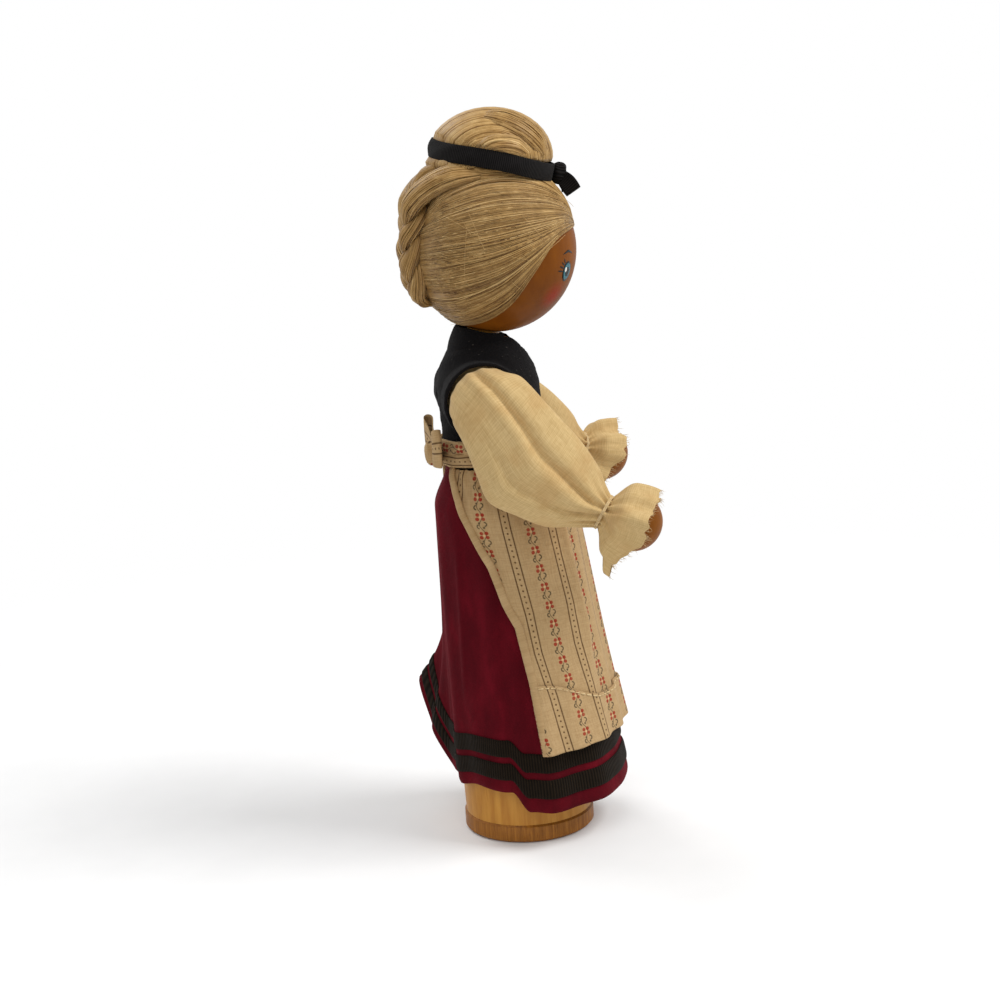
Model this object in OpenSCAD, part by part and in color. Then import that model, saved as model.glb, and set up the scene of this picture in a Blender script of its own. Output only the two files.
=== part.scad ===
// Peg wooden doll in folk dress, with a turning head and two arms that swing at the shoulders.
// The doll faces -Y, its left hand is towards +X, and it stands on z = 0.

/* [Base and body] */
// Diameter of the base disc
base_d = 33.4; // [31:0.2:38]
// Thickness of the base disc
base_t = 4.5; // [3.5:0.1:6]
// Bevel round both edges of the base disc
base_bevel = 0.5; // [0.2:0.1:1]
// Diameter of the turned body at its foot
body_foot_d = 32.6; // [29:0.2:32.8]
// Diameter of the turned body at the waist
body_waist_d = 21.2; // [19:0.2:22]
// Diameter of the turned body at the chest
body_chest_d = 22.2; // [20:0.2:23]
// Length of the turned body along its axis
body_l = 123.7; // [118:0.1:130]
// Height of the foot's straight stretch
body_foot_h = 14; // [8:0.5:22]
// Distance from the top of the body down to the waist
waist_drop = 27.2; // [27.2:0.1:30]
// Distance from the top of the body down to the chest, where the dome starts
chest_drop = 14.7; // [12:0.1:17]
// Backward lean of the body, in degrees
body_lean = 2; // [0:0.5:4]
// Diameter of the dowel between disc and body
base_dowel_d = 8; // [5:0.5:12]
// Depth of the dowel in the disc
base_dowel_in_disc = 2.5; // [1.5:0.1:3]
// Depth of the dowel in the body
base_dowel_in_body = 11; // [6:0.5:18]

/* [Head] */
// Diameter of the head ball
head_d = 40; // [38:0.2:42]
// Space between the head ball and the top of the body
head_gap = 0.6; // [0.5:0.1:1.5]
// Forward tilt of the neck dowel, in degrees
neck_tilt = 12; // [8:0.5:14]
// Diameter of the neck dowel
neck_d = 8; // [6:0.2:9]
// Depth of the neck dowel in the body
neck_in_body = 10; // [7:0.5:10.5]
// Depth of the neck dowel in the head
neck_in_head = 14; // [9:0.5:18]

/* [Arms] */
// Distance of the shoulder pivot behind the body's axis
shoulder_back = 2.8; // [1.5:0.1:3.2]
// Distance from the top of the body down to the shoulder pivot
shoulder_drop = 15.1; // [14.2:0.1:16.2]
// Length from shoulder pivot to wrist
arm_l = 38.5; // [37:0.1:41]
// Length from wrist to middle of the hand
hand_l = 7.3; // [6.8:0.1:9]
// Diameter of the arm stick
arm_d = 5; // [4:0.1:5.2]
// Diameter of the ball at the arm's wrist
wrist_ball_d = 5.4; // [5.3:0.1:5.6]
// Diameter of the arm's round shoulder end
arm_boss_d = 8.8; // [8:0.1:9.4]
// Thickness of the arm's round shoulder end
arm_boss_t = 5.4; // [4.5:0.1:6]
// Droop of the right arm below level, in degrees
arm_right_drop = 46; // [40:0.5:50]
// Droop of the left arm below level, in degrees
arm_left_drop = 36.5; // [34:0.5:50]
// Sideways splay of the right arm, in degrees
arm_right_splay = 17; // [16:0.5:22]
// Sideways splay of the left arm, in degrees
arm_left_splay = 19.5; // [16:0.5:22]
// Droop of both hands below level, in degrees
hand_drop = 20; // [12:0.5:28]
// Diameter of a hand
hand_d = 14.4; // [13:0.1:14.6]
// Diameter of the tenon that holds a hand
tenon_d = 3; // [2.4:0.1:4]
// Distance from the wrist to the flat back of the hand
hand_back = 4; // [3.9:0.1:4.6]
// Length of that tenon inside the hand
tenon_in_hand = 4; // [3:0.1:6]
// Diameter of the shoulder peg
shoulder_peg_d = 4; // [3:0.1:4.6]
// Diameter of the shoulder peg's head
shoulder_peg_head_d = 7.6; // [6:0.1:8.4]
// Thickness of the shoulder peg's head
shoulder_peg_head_t = 1.5; // [1:0.1:2]
// Depth of the shoulder peg in the body
shoulder_peg_in_body = 7; // [4:0.1:7.4]

/* [Blouse and vest] */
// Thickness of the blouse cloth on the body
blouse_t = 0.45; // [0.3:0.05:0.6]
// Thickness of the vest felt
vest_t = 1; // [0.6:0.05:1.2]
// Radius of the vest's armhole
armhole_r = 8.8; // [8.4:0.1:9]
// Width of the neckline at its top
neckline_w = 9; // [6:0.5:11]
// Depth of the neckline below the top of the body
neckline_drop = 16; // [10:0.5:20]
// Thickness of the sleeve cloth
sleeve_t = 0.7; // [0.5:0.05:0.8]
// Half height of the sleeve at its fullest
sleeve_full = 13.2; // [12:0.1:13.6]
// Half width of the sleeve at its fullest, sideways
sleeve_side = 6.4; // [5.6:0.1:7]
// Radius of the sleeve at the gathered wrist
wrist_r = 3.8; // [3.6:0.05:4.2]
// Length of the right frill past the wrist
right_frill_l = 11.5; // [10:0.1:13]
// Radius of the right frill's edge
right_frill_r = 10.4; // [9.8:0.1:11]
// Length of the left frill past the wrist
left_frill_l = 8.6; // [8.4:0.1:13]
// Radius of the left frill's edge
left_frill_r = 9; // [8.9:0.1:11]
// Thickness of the thread that gathers a wrist
thread_d = 0.8; // [0.5:0.05:0.85]
// Distance from the wrist's cloth to the middle of the thread
thread_seat = 1.2; // [1.15:0.05:1.4]

/* [Skirt and apron] */
// Height of the hem above the disc, along the body
hem_h = 5.5; // [4.5:0.1:8.5]
// Thickness of the skirt cloth
skirt_t = 1; // [0.7:0.05:1.1]
// Outer radius of the skirt at the waist
skirt_waist_r = 12.4; // [12.3:0.1:12.8]
// Outer radius of the skirt where it puffs out below the waist
skirt_puff_r = 16.2; // [15.6:0.1:16.4]
// How far the front hem stands out past the puff, as a share of the skirt's length
skirt_flare_share = 0.1165; // [0.085:0.0005:0.14]
// Depth of the skirt's small folds at the hem
skirt_fold = 0.45; // [0:0.05:0.6]
// Number of small folds round the skirt
skirt_folds = 9; // [5:1:12]
// Distance from the hem to the lower ribbon
hem_margin = 3.8; // [2.5:0.1:5]
// Width of each skirt ribbon
skirt_ribbon_w = 4.8; // [3.5:0.1:5.5]
// Space between the two skirt ribbons
skirt_ribbon_gap = 1.8; // [1:0.1:3]
// Thickness of a skirt ribbon
skirt_ribbon_t = 0.4; // [0.3:0.05:0.5]
// Thickness of the apron cloth
apron_t = 0.7; // [0.5:0.05:0.8]
// How much shorter the apron is than the skirt
apron_rise = 20; // [17:0.5:31]
// Depth of the apron's folds
apron_fold = 0.9; // [0:0.05:1]
// Number of folds across the apron
apron_folds = 8; // [4:1:10]
// Reach of the apron's waistband above the waist
band_rise = 1.8; // [1:0.1:1.9]
// Reach of the waistband below the waist
band_drop = 4.2; // [3:0.1:5]
// Thickness of the waistband
band_t = 0.9; // [0.6:0.05:1.1]
// Length of each loop of the bow at the back
bow_loop_l = 10; // [7:0.1:12]
// Depth of each loop of the bow, front to back
bow_loop_w = 3; // [2.4:0.1:4]
// Side of the bow's knot
bow_knot_w = 4; // [3:0.1:5]

/* [Hair] */
// Thickness of the hair at the back of the head
hair_back_t = 3.5; // [3.3:0.1:4]
// Thickness of the hair at the sides of the head
hair_side_t = 2; // [1.8:0.1:2.4]
// Distance of the hairline's plane from the middle of the head
hairline_drop = 8; // [6.5:0.1:11]
// Slope of the hairline below level, in degrees
hairline_slope = 52; // [46:0.5:56]
// Width of the braid up the back of the head
braid_w = 17; // [13:0.2:18]
// Radius of the hair rope that is wound into the bun
bun_rope_r = 4.3; // [4:0.05:4.35]
// Radius of the bun's lower loop, at the middle of the rope
bun_low_r = 10.8; // [10.7:0.1:11.2]
// Radius of the bun's upper loop, at the middle of the rope
bun_top_r = 6; // [4.8:0.05:6]
// Climb of the rope from the lower loop to the upper loop
bun_climb = 7.8; // [7.7:0.1:8.6]
// Width of the hair ribbon
hair_ribbon_w = 4.4; // [3:0.1:4.6]
// Thickness of the hair ribbon
hair_ribbon_t = 0.6; // [0.4:0.05:0.8]
// Forward tilt of the hair ribbon, in degrees
hair_ribbon_tilt = 15; // [12:0.5:16]
// Diameter of the knot in the hair ribbon
knot_d = 4; // [3:0.1:4.6]
// Length of the knot's two tails
knot_tail_l = 6; // [4:0.1:7]

/* [Fits] */
// Space round a glued dowel or peg, on the radius
glue_gap = 0.05; // [0.02:0.01:0.08]
// Space round a turning dowel or peg, on the radius
turn_gap = 0.06; // [0.03:0.01:0.1]
// Space between pieces that lie on each other
lay_gap = 0.3; // [0.2:0.05:0.4]
// Space between layers of cloth on the body
layer_gap = 0.15; // [0.1:0.01:0.2]

/* [Hidden] */

$fn = 96;
// Cuts run this far past the faces that they open
overrun = 2;
// Length that is larger than the whole doll, for half spaces
half_space = 400;
// Least distance of the bun's rope to itself
least_rope_gap = 0.4;

wood_colour = [0.66, 0.46, 0.22];
head_colour = [0.72, 0.46, 0.2];
flax_colour = [0.75, 0.6, 0.38];
felt_colour = [0.08, 0.07, 0.07];
cream_colour = [0.85, 0.76, 0.58];
thread_colour = [0.78, 0.68, 0.5];
velvet_colour = [0.35, 0.03, 0.08];
trim_colour = [0.1, 0.09, 0.06];
print_colour = [0.8, 0.7, 0.54];

// Body outline and the shells that follow it
foot_r = body_foot_d / 2;
waist_r = body_waist_d / 2;
chest_r = body_chest_d / 2;
waist_h = body_l - waist_drop;
chest_h = body_l - chest_drop;
shoulder_h = body_l - shoulder_drop;
skirt_l = waist_h - hem_h;
skirt_hem_r = skirt_puff_r + skirt_flare_share * skirt_l;
apron_l = skirt_l - apron_rise;
dome_h = chest_drop;
dome_steps = 12;
blouse_in = layer_gap;
blouse_out = blouse_in + blouse_t;
vest_in = blouse_out + layer_gap;
vest_out = vest_in + vest_t;
vest_low_h = waist_h + layer_gap;
// Shells stop where the dome has turned this far, in degrees
shell_top_angle = 60;

// Head and neck
head_r = head_d / 2;
neck_top = [0, body_l * sin(body_lean), base_t + body_l * cos(body_lean)];
neck_way = [0, -sin(neck_tilt), cos(neck_tilt)];
head_c = neck_top + (head_r + head_gap) * neck_way;

// Arms
rim_x = chest_r + vest_out + layer_gap;
sleeve_in_x = rim_x + lay_gap;
boss_in_x = sleeve_in_x;
boss_out_x = boss_in_x + arm_boss_t;
shoulder_x = (boss_in_x + boss_out_x) / 2;
peg_head_in_x = boss_out_x + lay_gap;
sleeve_cap_r = armhole_r - lay_gap;
sleeve_sides = 20;
// Stations along the sleeve: distance along the arm, middle and half height, and side half width, as shares of
// arm_l, sleeve_full, sleeve_full and sleeve_side
sleeve_shares = [
    [-0.17, 0.02, 0.5, 0.52], [-0.08, 0, 0.61, 0.74], [0.02, 0, 0.66, 0.8], [0.11, -0.03, 0.75, 0.86],
    [0.25, -0.16, 0.92, 0.95], [0.41, -0.28, 1, 1], [0.59, -0.23, 0.9, 1], [0.79, -0.19, 0.73, 0.9],
    [0.9, -0.12, 0.5, 0.72]
];
// Start of the sleeve's round cap
sleeve_cap_shares = [-0.21, 0, 0.2, 0.3];
// The sleeve moves out of the skirt's way between these shares of arm_l
sleeve_swing_shares = [0.08, 0.62];
// The frill opens at these shares of its length, to these shares of its radius
frill_shares = [[0.14, 0.45], [0.4, 0.82], [0.7, 0.93], [1, 1]];
function frill_l(side) = side < 0 ? right_frill_l : left_frill_l;
function frill_r(side) = side < 0 ? right_frill_r : left_frill_r;
// The sleeve stays this far out of the skirt's way where it hangs beside it
skirt_side_x = skirt_puff_r + lay_gap + apron_t + 2 * lay_gap + apron_fold;

// Skirt: angle from the front towards the right hand, reach as a share of skirt_hem_r, lift of the hem as a share
// of skirt_l, and how late the cloth swings out
hem_shares = [
    [0, 1, 0, 1.3], [45, 0.93, 0, 1.3], [80, 0.87, -0.005, 1.3], [95, 0.84, 0, 1.3], [108, 0.755, 0.055, 1.3],
    [135, 0.71, 0.065, 1.3], [165, 0.685, 0.05, 1.3], [190, 0.7, 0.06, 1.6], [205, 0.92, 0.16, 2.4],
    [218, 1.13, 0.29, 3], [232, 0.98, 0.2, 2.4], [255, 0.86, 0.04, 1.4], [290, 0.88, 0, 1.3],
    [320, 0.94, 0, 1.3], [360, 1, 0, 1.3]
];
skirt_sides = 48;
// Share of the skirt's length over which it puffs out below the waistband
puff_share = 0.13;
band_low_h = waist_h - band_drop;
band_h = band_drop + band_rise;
band_share = band_drop / skirt_l;
lower_ribbon_shares = [1 - (hem_margin + skirt_ribbon_w) / skirt_l, 1 - hem_margin / skirt_l];
ribbon_step_share = (skirt_ribbon_w + skirt_ribbon_gap) / skirt_l;
upper_ribbon_shares = [for (s = lower_ribbon_shares) s - ribbon_step_share];
// Rows of the skirt between its waist and its ribbons
skirt_row_shares = concat(
    [0, band_share], [for (k = [1:3]) band_share + puff_share * k / 3], [0.38, 0.6], upper_ribbon_shares,
    lower_ribbon_shares, [1]
);
// Apron: share of the way down, and half of the angle that it covers
apron_width_shares = [[0, 148], [0.2, 121], [0.46, 98], [1, 83]];
apron_row_shares = [0, 0.06, 0.14, 0.27, 0.45, 0.63, 0.82, 1];
apron_sides = 28;
apron_out = skirt_ribbon_t + 2 * lay_gap;
band_r = skirt_waist_r + lay_gap;

// Hair
hair_r = head_r + hair_side_t;
hair_c = [0, hair_back_t - hair_side_t, (hair_back_t - hair_side_t) / 2];
hair_top_h = sqrt(pow(head_r, 2) - pow(bun_low_r - lay_gap, 2)) + lay_gap;
// Hair ends at this share of the head's radius down the neck's axis
nape_share = 0.97;
// Hair stays this far from the neck's axis, so that it passes over the vest as the head turns
nape_r = (chest_r + vest_out) * cos(shell_top_angle) + 5 * lay_gap;
parting_w = 0.6;
braid_in_r = head_r + lay_gap;
braid_t = hair_back_t - lay_gap;
// Roundness of the braid's back
braid_round_share = 0.7;
// The braid runs between these angles from upright, down the back of the head
braid_from = 38.5;
braid_to = 128;
bun_low_h = sqrt(pow(head_r + lay_gap + bun_rope_r, 2) - pow(bun_low_r, 2)) + layer_gap;
bun_loop_rings = 24;
bun_rope_sides = 6;
// The rope is wound between these turns, and climbs between the middle two
bun_turn_from = 0.1;
bun_climb_from = 0.75;
bun_climb_to = 1.1;
bun_turn_to = 1.75;
hair_ribbon_r = bun_low_r + bun_rope_r + lay_gap;
// The ribbon's middle stands this share of the rope below the lower loop
hair_ribbon_sink_share = 0.05;

function smooth(u) = u <= 0 ? 0 : u >= 1 ? 1 : (1 - cos(180 * u)) / 2;
function mix(a, b, u) = a + (b - a) * u;
function flat(rows) = [for (row = rows, p = row) p];

// Value of a table whose rows start with a rising key, eased between rows
function table_at(table, key) =
    let (k = max([for (i = [0:len(table) - 2]) table[i][0] <= key ? i : 0]))
    mix(table[k], table[k + 1], smooth((key - table[k][0]) / (table[k + 1][0] - table[k][0])));

// Points of the body's outline, from height low upwards, with every surface moved out by off
function outline(off, low, top_angle) = concat(
    [[body_r(low) + off, low]],
    low < body_foot_h ? [[foot_r + off, body_foot_h]] : [],
    low < waist_h ? [[waist_r + off, waist_h]] : [],
    [for (i = [0:dome_steps]) let (a = top_angle * i / dome_steps)
        [(chest_r + off) * cos(a), chest_h + (dome_h + off) * sin(a)]]
);
function body_r(h) =
    h <= body_foot_h ? foot_r :
    h <= waist_h ? mix(foot_r, waist_r, (h - body_foot_h) / (waist_h - body_foot_h)) :
    mix(waist_r, chest_r, (h - waist_h) / (chest_h - waist_h));

// Faces of cloth: rows run down it, and the points of a row run round it with the clock
function wall(rows, n, base, out, closed) =
    [for (j = [0:rows - 2], i = [0:n - (closed ? 1 : 2)], k = [0, 1])
        let (a = base + j * n + i, b = base + j * n + (i + 1) % n, c = a + n, d = b + n)
        out ? (k == 0 ? [b, a, c] : [b, c, d]) : (k == 0 ? [a, b, c] : [b, d, c])];
function rim(n, outer, inner, top, closed) =
    [for (i = [0:n - (closed ? 1 : 2)], k = [0, 1])
        let (a = outer + i, b = outer + (i + 1) % n, c = inner + i, d = inner + (i + 1) % n)
        top ? (k == 0 ? [a, b, d] : [a, d, c]) : (k == 0 ? [b, a, c] : [b, c, d])];
function side_edge(rows, n, col, inner, last) =
    [for (j = [0:rows - 2], k = [0, 1])
        let (a = j * n + col, b = a + n, c = inner + a, d = inner + b)
        last ? (k == 0 ? [c, a, b] : [c, b, d]) : (k == 0 ? [a, c, d] : [a, d, b])];
function fan(n, base, out) =
    [for (i = [1:n - 2]) out ? [base, base + i, base + i + 1] : [base, base + i + 1, base + i]];

// A cloth solid between an outer and an inner grid of points
module cloth(outer, inner, closed) {
    rows = len(outer);
    n = len(outer[0]);
    base = rows * n;
    low = (rows - 1) * n;
    polyhedron(flat(concat(outer, inner)), concat(
        wall(rows, n, 0, true, closed),
        wall(rows, n, base, false, closed),
        rim(n, 0, base, true, closed),
        rim(n, low, base + low, false, closed),
        closed ? [] : side_edge(rows, n, 0, base, false),
        closed ? [] : side_edge(rows, n, n - 1, base, true)
    ));
}

// The frame of the leaning body, with its origin on the disc
module at_body() {
    translate([0, 0, base_t]) rotate([-body_lean, 0, 0]) children();
}
module at_neck() {
    translate(neck_top) rotate([neck_tilt, 0, 0]) children();
}
module at_shoulder(side) {
    at_body() translate([side * shoulder_x, shoulder_back, shoulder_h]) children();
}
// A round bar along X at the shoulder, from one distance off the middle to another
module cross_bar(side, from_x, to_x, r) {
    at_shoulder(side) translate([side * (from_x - shoulder_x), 0, 0]) rotate([0, 90 * side, 0])
        cylinder(h = to_x - from_x, r = r);
}
// A solid that follows the body at a distance, open to the neck, and the room inside it
module follow_solid(off, low) {
    rotate_extrude() polygon(concat(
        [[0, low]], outline(off, low, shell_top_angle), [[0, chest_h + (dome_h + off) * sin(shell_top_angle)]]
    ));
}
module follow_room(off, low) {
    neck_room_r = (chest_r + off) * cos(shell_top_angle);
    rotate_extrude() polygon(concat(
        [[0, low - overrun], [body_r(low) + off, low - overrun]], outline(off, low, shell_top_angle),
        [[neck_room_r, body_l + overrun], [0, body_l + overrun]]
    ));
}

function drop_of(side) = side < 0 ? arm_right_drop : arm_left_drop;
function splay_of(side) = side < 0 ? arm_right_splay : arm_left_splay;
function way(side, drop) =
    [side * sin(splay_of(side)), -cos(splay_of(side)) * cos(drop), -cos(splay_of(side)) * sin(drop)];
function shoulder_at(side) = [
    side * shoulder_x,
    shoulder_back * cos(body_lean) + shoulder_h * sin(body_lean),
    base_t + shoulder_h * cos(body_lean) - shoulder_back * sin(body_lean)
];
function wrist_at(side) = shoulder_at(side) + arm_l * way(side, drop_of(side));
// The gathered wrist droops halfway between arm and hand
function wrist_drop(side) = (drop_of(side) + hand_drop) / 2;
module along(side, from, drop) {
    translate(from) rotate([90 + drop, 0, 0]) rotate([0, side * splay_of(side), 0]) children();
}

// Base and body
module base_disc() {
    color(wood_colour) difference() {
        rotate_extrude() polygon([
            [0, 0], [base_d / 2 - base_bevel, 0], [base_d / 2, base_bevel], [base_d / 2, base_t - base_bevel],
            [base_d / 2 - base_bevel, base_t], [0, base_t]
        ]);
        translate([0, 0, base_t - base_dowel_in_disc - glue_gap])
            cylinder(h = base_dowel_in_disc + overrun, d = base_dowel_d + 2 * glue_gap);
    }
}
module base_dowel() {
    color(wood_colour) translate([0, 0, base_t - base_dowel_in_disc])
        cylinder(h = base_dowel_in_disc + base_dowel_in_body, d = base_dowel_d);
}
module body_peg() {
    color(wood_colour) difference() {
        at_body() rotate_extrude()
            polygon(concat([[0, -overrun], [foot_r, -overrun]], outline(0, 0, 90)));
        translate([0, 0, base_t - half_space]) cylinder(h = half_space, r = half_space);
        translate([0, 0, base_t - overrun])
            cylinder(h = base_dowel_in_body + glue_gap + overrun, d = base_dowel_d + 2 * glue_gap);
        at_neck() translate([0, 0, -neck_in_body - glue_gap])
            cylinder(h = neck_in_body + glue_gap + overrun, d = neck_d + 2 * glue_gap);
        for (side = [-1, 1])
            cross_bar(side, chest_r - shoulder_peg_in_body - glue_gap, chest_r + overrun,
                shoulder_peg_d / 2 + glue_gap);
    }
}
module neck_dowel() {
    color(wood_colour) at_neck() translate([0, 0, -neck_in_body])
        cylinder(h = neck_in_body + head_gap + neck_in_head, d = neck_d);
}
module shoulder_peg(side) {
    color(wood_colour) union() {
        cross_bar(side, chest_r - shoulder_peg_in_body, peg_head_in_x + shoulder_peg_head_t / 2,
            shoulder_peg_d / 2);
        cross_bar(side, peg_head_in_x, peg_head_in_x + shoulder_peg_head_t, shoulder_peg_head_d / 2);
    }
}
module head_ball() {
    color(head_colour) difference() {
        translate(head_c) sphere(r = head_r);
        at_neck() cylinder(h = head_gap + neck_in_head + lay_gap, r = neck_d / 2 + turn_gap);
    }
}

// Arms and hands
module arm(side) {
    color(wood_colour) difference() {
        union() {
            cross_bar(side, boss_in_x, boss_out_x, arm_boss_d / 2);
            along(side, shoulder_at(side), drop_of(side)) cylinder(h = arm_l, d = arm_d);
            translate(wrist_at(side)) sphere(d = wrist_ball_d);
            along(side, wrist_at(side), hand_drop)
                cylinder(h = hand_back + tenon_in_hand, d = tenon_d);
        }
        cross_bar(side, boss_in_x - overrun, boss_out_x + overrun, shoulder_peg_d / 2 + turn_gap);
        cross_bar(side, boss_out_x, peg_head_in_x + shoulder_peg_head_t + overrun, shoulder_peg_head_d / 2 + lay_gap);
    }
}
module hand(side) {
    color(wood_colour) along(side, wrist_at(side), hand_drop) difference() {
        translate([0, 0, hand_l]) sphere(d = hand_d);
        translate([0, 0, hand_back - half_space]) cylinder(h = half_space, r = hand_d);
        translate([0, 0, hand_back - overrun])
            cylinder(h = overrun + tenon_in_hand + glue_gap, d = tenon_d + 2 * glue_gap);
    }
}

// Blouse and vest
module blouse_body() {
    color(cream_colour) difference() {
        at_body() follow_solid(blouse_out, vest_low_h);
        at_body() follow_room(blouse_in, vest_low_h);
        for (side = [-1, 1]) cross_bar(side, waist_r / 2, half_space, shoulder_peg_d / 2 + lay_gap);
    }
}
module vest() {
    color(felt_colour) difference() {
        union() {
            at_body() follow_solid(vest_out, vest_low_h);
            for (side = [-1, 1]) cross_bar(side, waist_r / 2, rim_x, armhole_r + vest_t);
        }
        at_body() follow_room(vest_in, vest_low_h);
        for (side = [-1, 1]) cross_bar(side, waist_r / 4, half_space, armhole_r);
        at_body() translate([0, 0, body_l]) rotate([90, 0, 0]) linear_extrude(half_space)
            polygon([[0, -neckline_drop], [neckline_w / 2, 0], [-neckline_w / 2, 0]]);
    }
}

// One ring of the sleeve: its middle, the droop and the turn to the side there, and its half width and height
function sleeve_ring(middle, drop, turn, half_x, half_y) =
    let (across = [cos(turn), sin(turn) * cos(drop), sin(turn) * sin(drop)], up = [0, -sin(drop), cos(drop)])
    [for (i = [0:sleeve_sides - 1]) let (a = 360 * i / sleeve_sides)
        middle - half_x * sin(a) * across + half_y * cos(a) * up];
// A ring at a station of the sleeve, made smaller all round by less
function sleeve_station(side, station, less) =
    let (
        drop = drop_of(side),
        run = station[0] * arm_l * cos(splay_of(side)),
        half_x = station[3] * sleeve_side,
        swing = smooth((station[0] - sleeve_swing_shares[0]) / (sleeve_swing_shares[1] - sleeve_swing_shares[0])),
        low_x = mix(sleeve_in_x, skirt_side_x, swing),
        x = max(low_x + half_x, shoulder_x + station[0] * arm_l * sin(splay_of(side))),
        rise = station[1] * sleeve_full,
        start = shoulder_at(side)
    )
    sleeve_ring(
        [side * x, start[1] - run * cos(drop) - rise * sin(drop), start[2] - run * sin(drop) + rise * cos(drop)],
        drop, 0, half_x - less, station[2] * sleeve_full - less
    );
function sleeve_rows(side, less) = concat(
    [for (station = concat([sleeve_cap_shares], sleeve_shares)) sleeve_station(side, station, less)],
    [sleeve_ring(wrist_at(side), wrist_drop(side), side * splay_of(side), wrist_r - less, wrist_r - less)],
    [for (s = frill_shares) sleeve_ring(
        wrist_at(side) + s[0] * frill_l(side) * way(side, hand_drop), hand_drop, side * splay_of(side),
        s[1] * frill_r(side) - less, s[1] * frill_r(side) - less)]
);
module sleeve(side) {
    outer = sleeve_rows(side, 0);
    inner = sleeve_rows(side, sleeve_t);
    rows = len(outer);
    n = sleeve_sides;
    base = rows * n;
    low = (rows - 1) * n;
    color(cream_colour) difference() {
        polyhedron(flat(concat(outer, inner)), concat(
            wall(rows, n, 0, true, true), wall(rows, n, base, false, true),
            rim(n, low, base + low, false, true), fan(n, 0, true), fan(n, base, false)
        ));
        cross_bar(side, 0, shoulder_x, arm_boss_d / 2 + lay_gap);
    }
}
module wrist_thread(side) {
    color(thread_colour) along(side, wrist_at(side), wrist_drop(side))
        rotate_extrude() translate([wrist_r + thread_seat, 0]) circle(d = thread_d);
}

// Skirt and apron, as points at an angle from the front and a share of the way down
function skirt_point(angle, down, off) =
    let (
        hem = table_at(hem_shares, (angle + 360) % 360),
        puff = mix(skirt_waist_r, skirt_puff_r, smooth((down - band_share) / puff_share)),
        swing = (hem[1] * skirt_hem_r - skirt_puff_r) * pow(down, hem[3]),
        fold = skirt_fold * down * cos(skirt_folds * angle),
        r = puff + swing + fold + off,
        h = waist_h - down * skirt_l * (1 - down * hem[2])
    )
    [-r * sin(angle), -r * cos(angle), h];
function skirt_rows(shares, off) =
    [for (down = shares) [for (i = [0:skirt_sides - 1]) skirt_point(360 * i / skirt_sides, down, off)]];
module skirt() {
    color(velvet_colour) at_body()
        cloth(skirt_rows(skirt_row_shares, 0), skirt_rows(skirt_row_shares, -skirt_t), true);
}
module skirt_ribbon(shares) {
    color(trim_colour) at_body()
        cloth(skirt_rows(shares, layer_gap + skirt_ribbon_t), skirt_rows(shares, layer_gap), true);
}
function apron_rows(off) = [for (share = apron_row_shares)
    let (down = (band_drop + lay_gap + share * apron_l) / skirt_l, half = table_at(apron_width_shares, share)[1])
    [for (i = [0:apron_sides])
        let (u = 2 * i / apron_sides - 1, fold = apron_fold * share * (1 + cos(180 * apron_folds * u)) / 2)
        skirt_point(half * u, down, apron_out + fold + off)]];
module apron() {
    color(print_colour) at_body() cloth(apron_rows(apron_t), apron_rows(0), false);
}
module apron_waistband() {
    color(print_colour) at_body() translate([0, 0, band_low_h]) difference() {
        cylinder(h = band_h, r = band_r + band_t);
        translate([0, 0, -overrun]) cylinder(h = band_h + 2 * overrun, r = band_r);
    }
}
// Outline of one bow loop, narrow at the knot and round at its end
function loop_outline(l, w) = [for (i = [0:23]) let (a = 15 * i)
    [l / 2 * (1 - cos(a)), w / 2 * sin(a) * sin(a / 2)]];
module apron_bow() {
    color(print_colour) at_body() translate([0, band_r + band_t + lay_gap + bow_loop_w / 2, band_low_h])
        union() {
            translate([-bow_knot_w / 2, -bow_loop_w / 2, 0]) cube([bow_knot_w, bow_loop_w, band_h]);
            for (side = [-1, 1]) mirror([side < 0 ? 1 : 0, 0, 0]) translate([bow_knot_w / 4, 0, 0])
                linear_extrude(band_h) difference() {
                    polygon(loop_outline(bow_loop_l, bow_loop_w));
                    translate([band_t, 0])
                        polygon(loop_outline(bow_loop_l - 2 * band_t, bow_loop_w - 2 * band_t));
                }
        }
}

// Hair
module hair_side(side) {
    color(flax_colour) difference() {
        translate(head_c + hair_c) sphere(r = hair_r);
        translate(head_c) sphere(r = head_r + layer_gap);
        // Other half of the head, and the parting
        translate(head_c + [-side * half_space + side * parting_w / 2, 0, 0]) cube(2 * half_space, center = true);
        // Face, below the sloping hairline
        translate(head_c) rotate([90 + hairline_slope, 0, 0]) translate([0, 0, hairline_drop])
            cylinder(h = half_space, r = half_space);
        // Crown, which the bun covers
        translate(head_c + [0, 0, hair_top_h]) cylinder(h = half_space, r = half_space);
        // Seat of the ribbon
        at_ribbon() translate([0, 0, -hair_ribbon_w / 2 - lay_gap])
            cylinder(h = half_space, r = hair_ribbon_r + hair_ribbon_t + lay_gap);
        // Back, which the braid covers
        translate(head_c + [-braid_w / 2 - lay_gap, 0, -half_space / 2])
            cube([braid_w + 2 * lay_gap, half_space, half_space]);
        // Nape, clear of the vest
        translate(head_c) rotate([neck_tilt, 0, 0]) translate([0, 0, -half_space - nape_share * head_r])
            cylinder(h = half_space, r = half_space);
        translate(head_c) rotate([neck_tilt, 0, 0]) translate([0, 0, -half_space])
            cylinder(h = half_space, r = nape_r);
    }
}
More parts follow.
